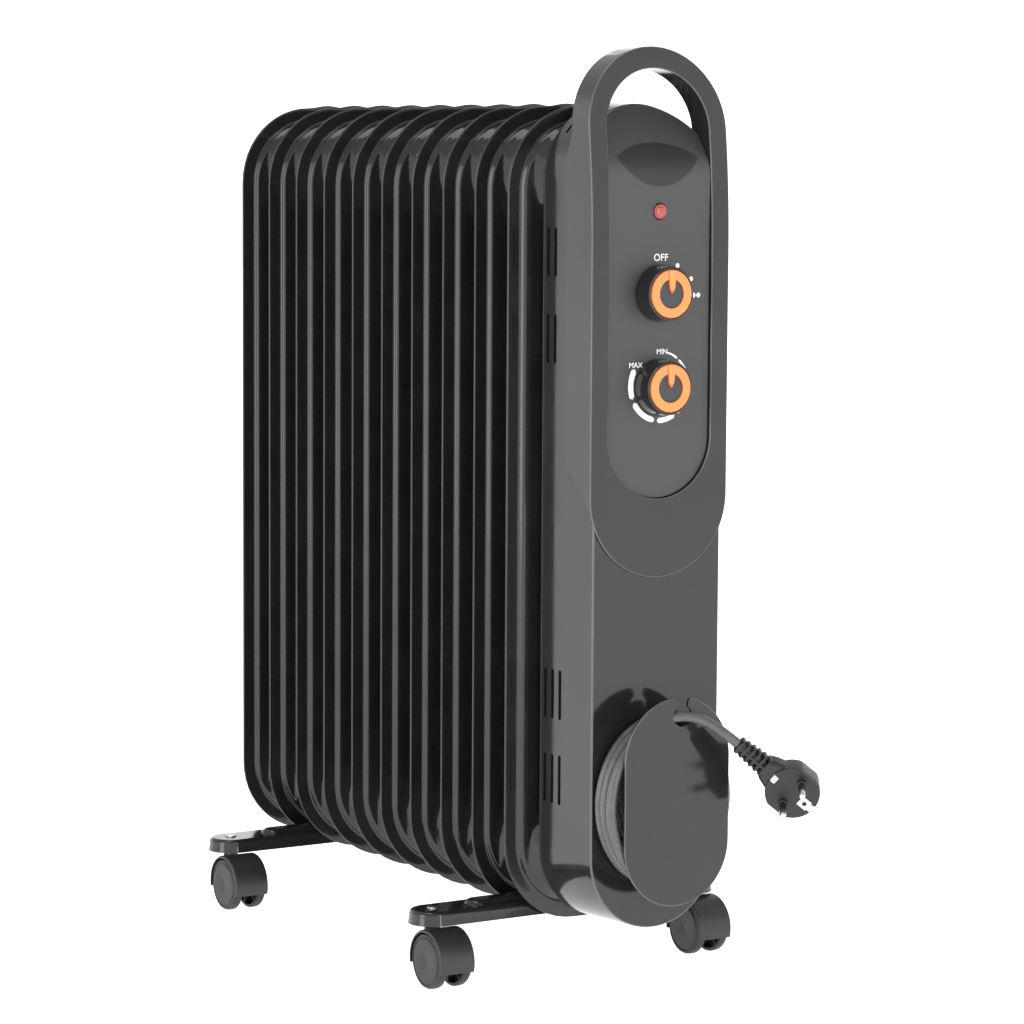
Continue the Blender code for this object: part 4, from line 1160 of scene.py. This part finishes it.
def make_camera():
    data = bpy.data.cameras.new("camera")
    camera = bpy.data.objects.new("camera", data)
    bpy.context.scene.collection.objects.link(camera)
    bpy.context.scene.camera = camera
    data.sensor_width = 36
    data.lens = 127.2
    data.clip_start = 0.05
    data.clip_end = 100
    yaw, pitch, roll = math.radians(32.05), math.radians(5.85), math.radians(0.34)
    ahead = Vector((math.sin(yaw) * math.cos(pitch), math.cos(yaw) * math.cos(pitch), -math.sin(pitch)))
    right = Vector((math.cos(yaw), -math.sin(yaw), 0))
    up = right.cross(ahead)
    tilted_right = right * math.cos(roll) + up * math.sin(roll)
    tilted_up = up * math.cos(roll) - right * math.sin(roll)
    turn = Matrix((tilted_right, tilted_up, -ahead)).transposed()
    place = Vector((-1.3596, -1.9991, 0.5718)) + SHIFT * MM
    camera.matrix_world = Matrix.Translation(place) @ turn.to_4x4()


def main():
    make_camera()
    enamel = make_enamel()
    gloss = make_gloss_plastic("polished_plastic", (0.016, 0.016, 0.0165))
    # A lighter copy of the polished plastic: painted highlight for the marked edge faces of housing, frame, inlay
    # and storage plate.
    painted_highlight = make_gloss_plastic("edge_painted_highlight", (0.09, 0.09, 0.09))
    grained = make_grained_plastic("grained_panel", (0.042, 0.042, 0.043))
    dark_grained = make_grained_plastic("grained_inlay", (0.006, 0.006, 0.0062))
    castor_look = make_grained_plastic("castor_plastic", (0.016, 0.016, 0.0165), 0.4)
    wheel_look = make_grained_plastic("wheel_plastic", (0.007, 0.007, 0.0073), 0.5)
    disc_look = make_grained_plastic("dial_disc", (0.028, 0.031, 0.034), 0.35)
    rubber = make_rubber("cord_jacket", (0.08, 0.08, 0.081), 0.26)
    moulding = make_rubber("plug_moulding", (0.009, 0.009, 0.0095), 0.38)
    orange = make_orange("orange_plastic", (0.86, 0.255, 0.07))
    # A deeper copy of the orange: painted shade for the dial rings' sides.
    shaded_orange = make_orange("orange_painted_shade", (0.72, 0.15, 0.02))
    steel = make_steel()
    pale = make_pale_plastic()
    make_fins(enamel)
    make_rear_fittings(enamel)
    make_housing(gloss, painted_highlight, enamel)
    make_frame(gloss, painted_highlight)
    make_panel(grained, dark_grained, painted_highlight)
    make_prints(make_print())
    for name, z in (("power", POWER_Z), ("thermostat", THERMOSTAT_Z)):
        make_dial(name, z, gloss, orange, shaded_orange, disc_look, steel)
    make_lamp(make_lens(), gloss)
    make_storage(gloss, painted_highlight)
    make_gland(moulding)
    make_plug(moulding, steel, pale)
    make_cord(rubber)
    for name in ("front", "rear"):
        make_leg(name, enamel, steel)
        for side in ("left", "right"):
            make_castor("castor_%s_%s" % (name, side), castor_look, wheel_look, steel)
    for node in ("element_flange", "heating_element", "thermal_cutout"):
        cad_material(node, steel)
    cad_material("front_upper_header_cap", enamel)
    for node in ("selector_switch", "thermostat"):
        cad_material(node, pale)
    make_stage(make_floor())
    make_world()
    make_lights()
    bpy.context.scene.view_settings.view_transform = 'Standard'


main()
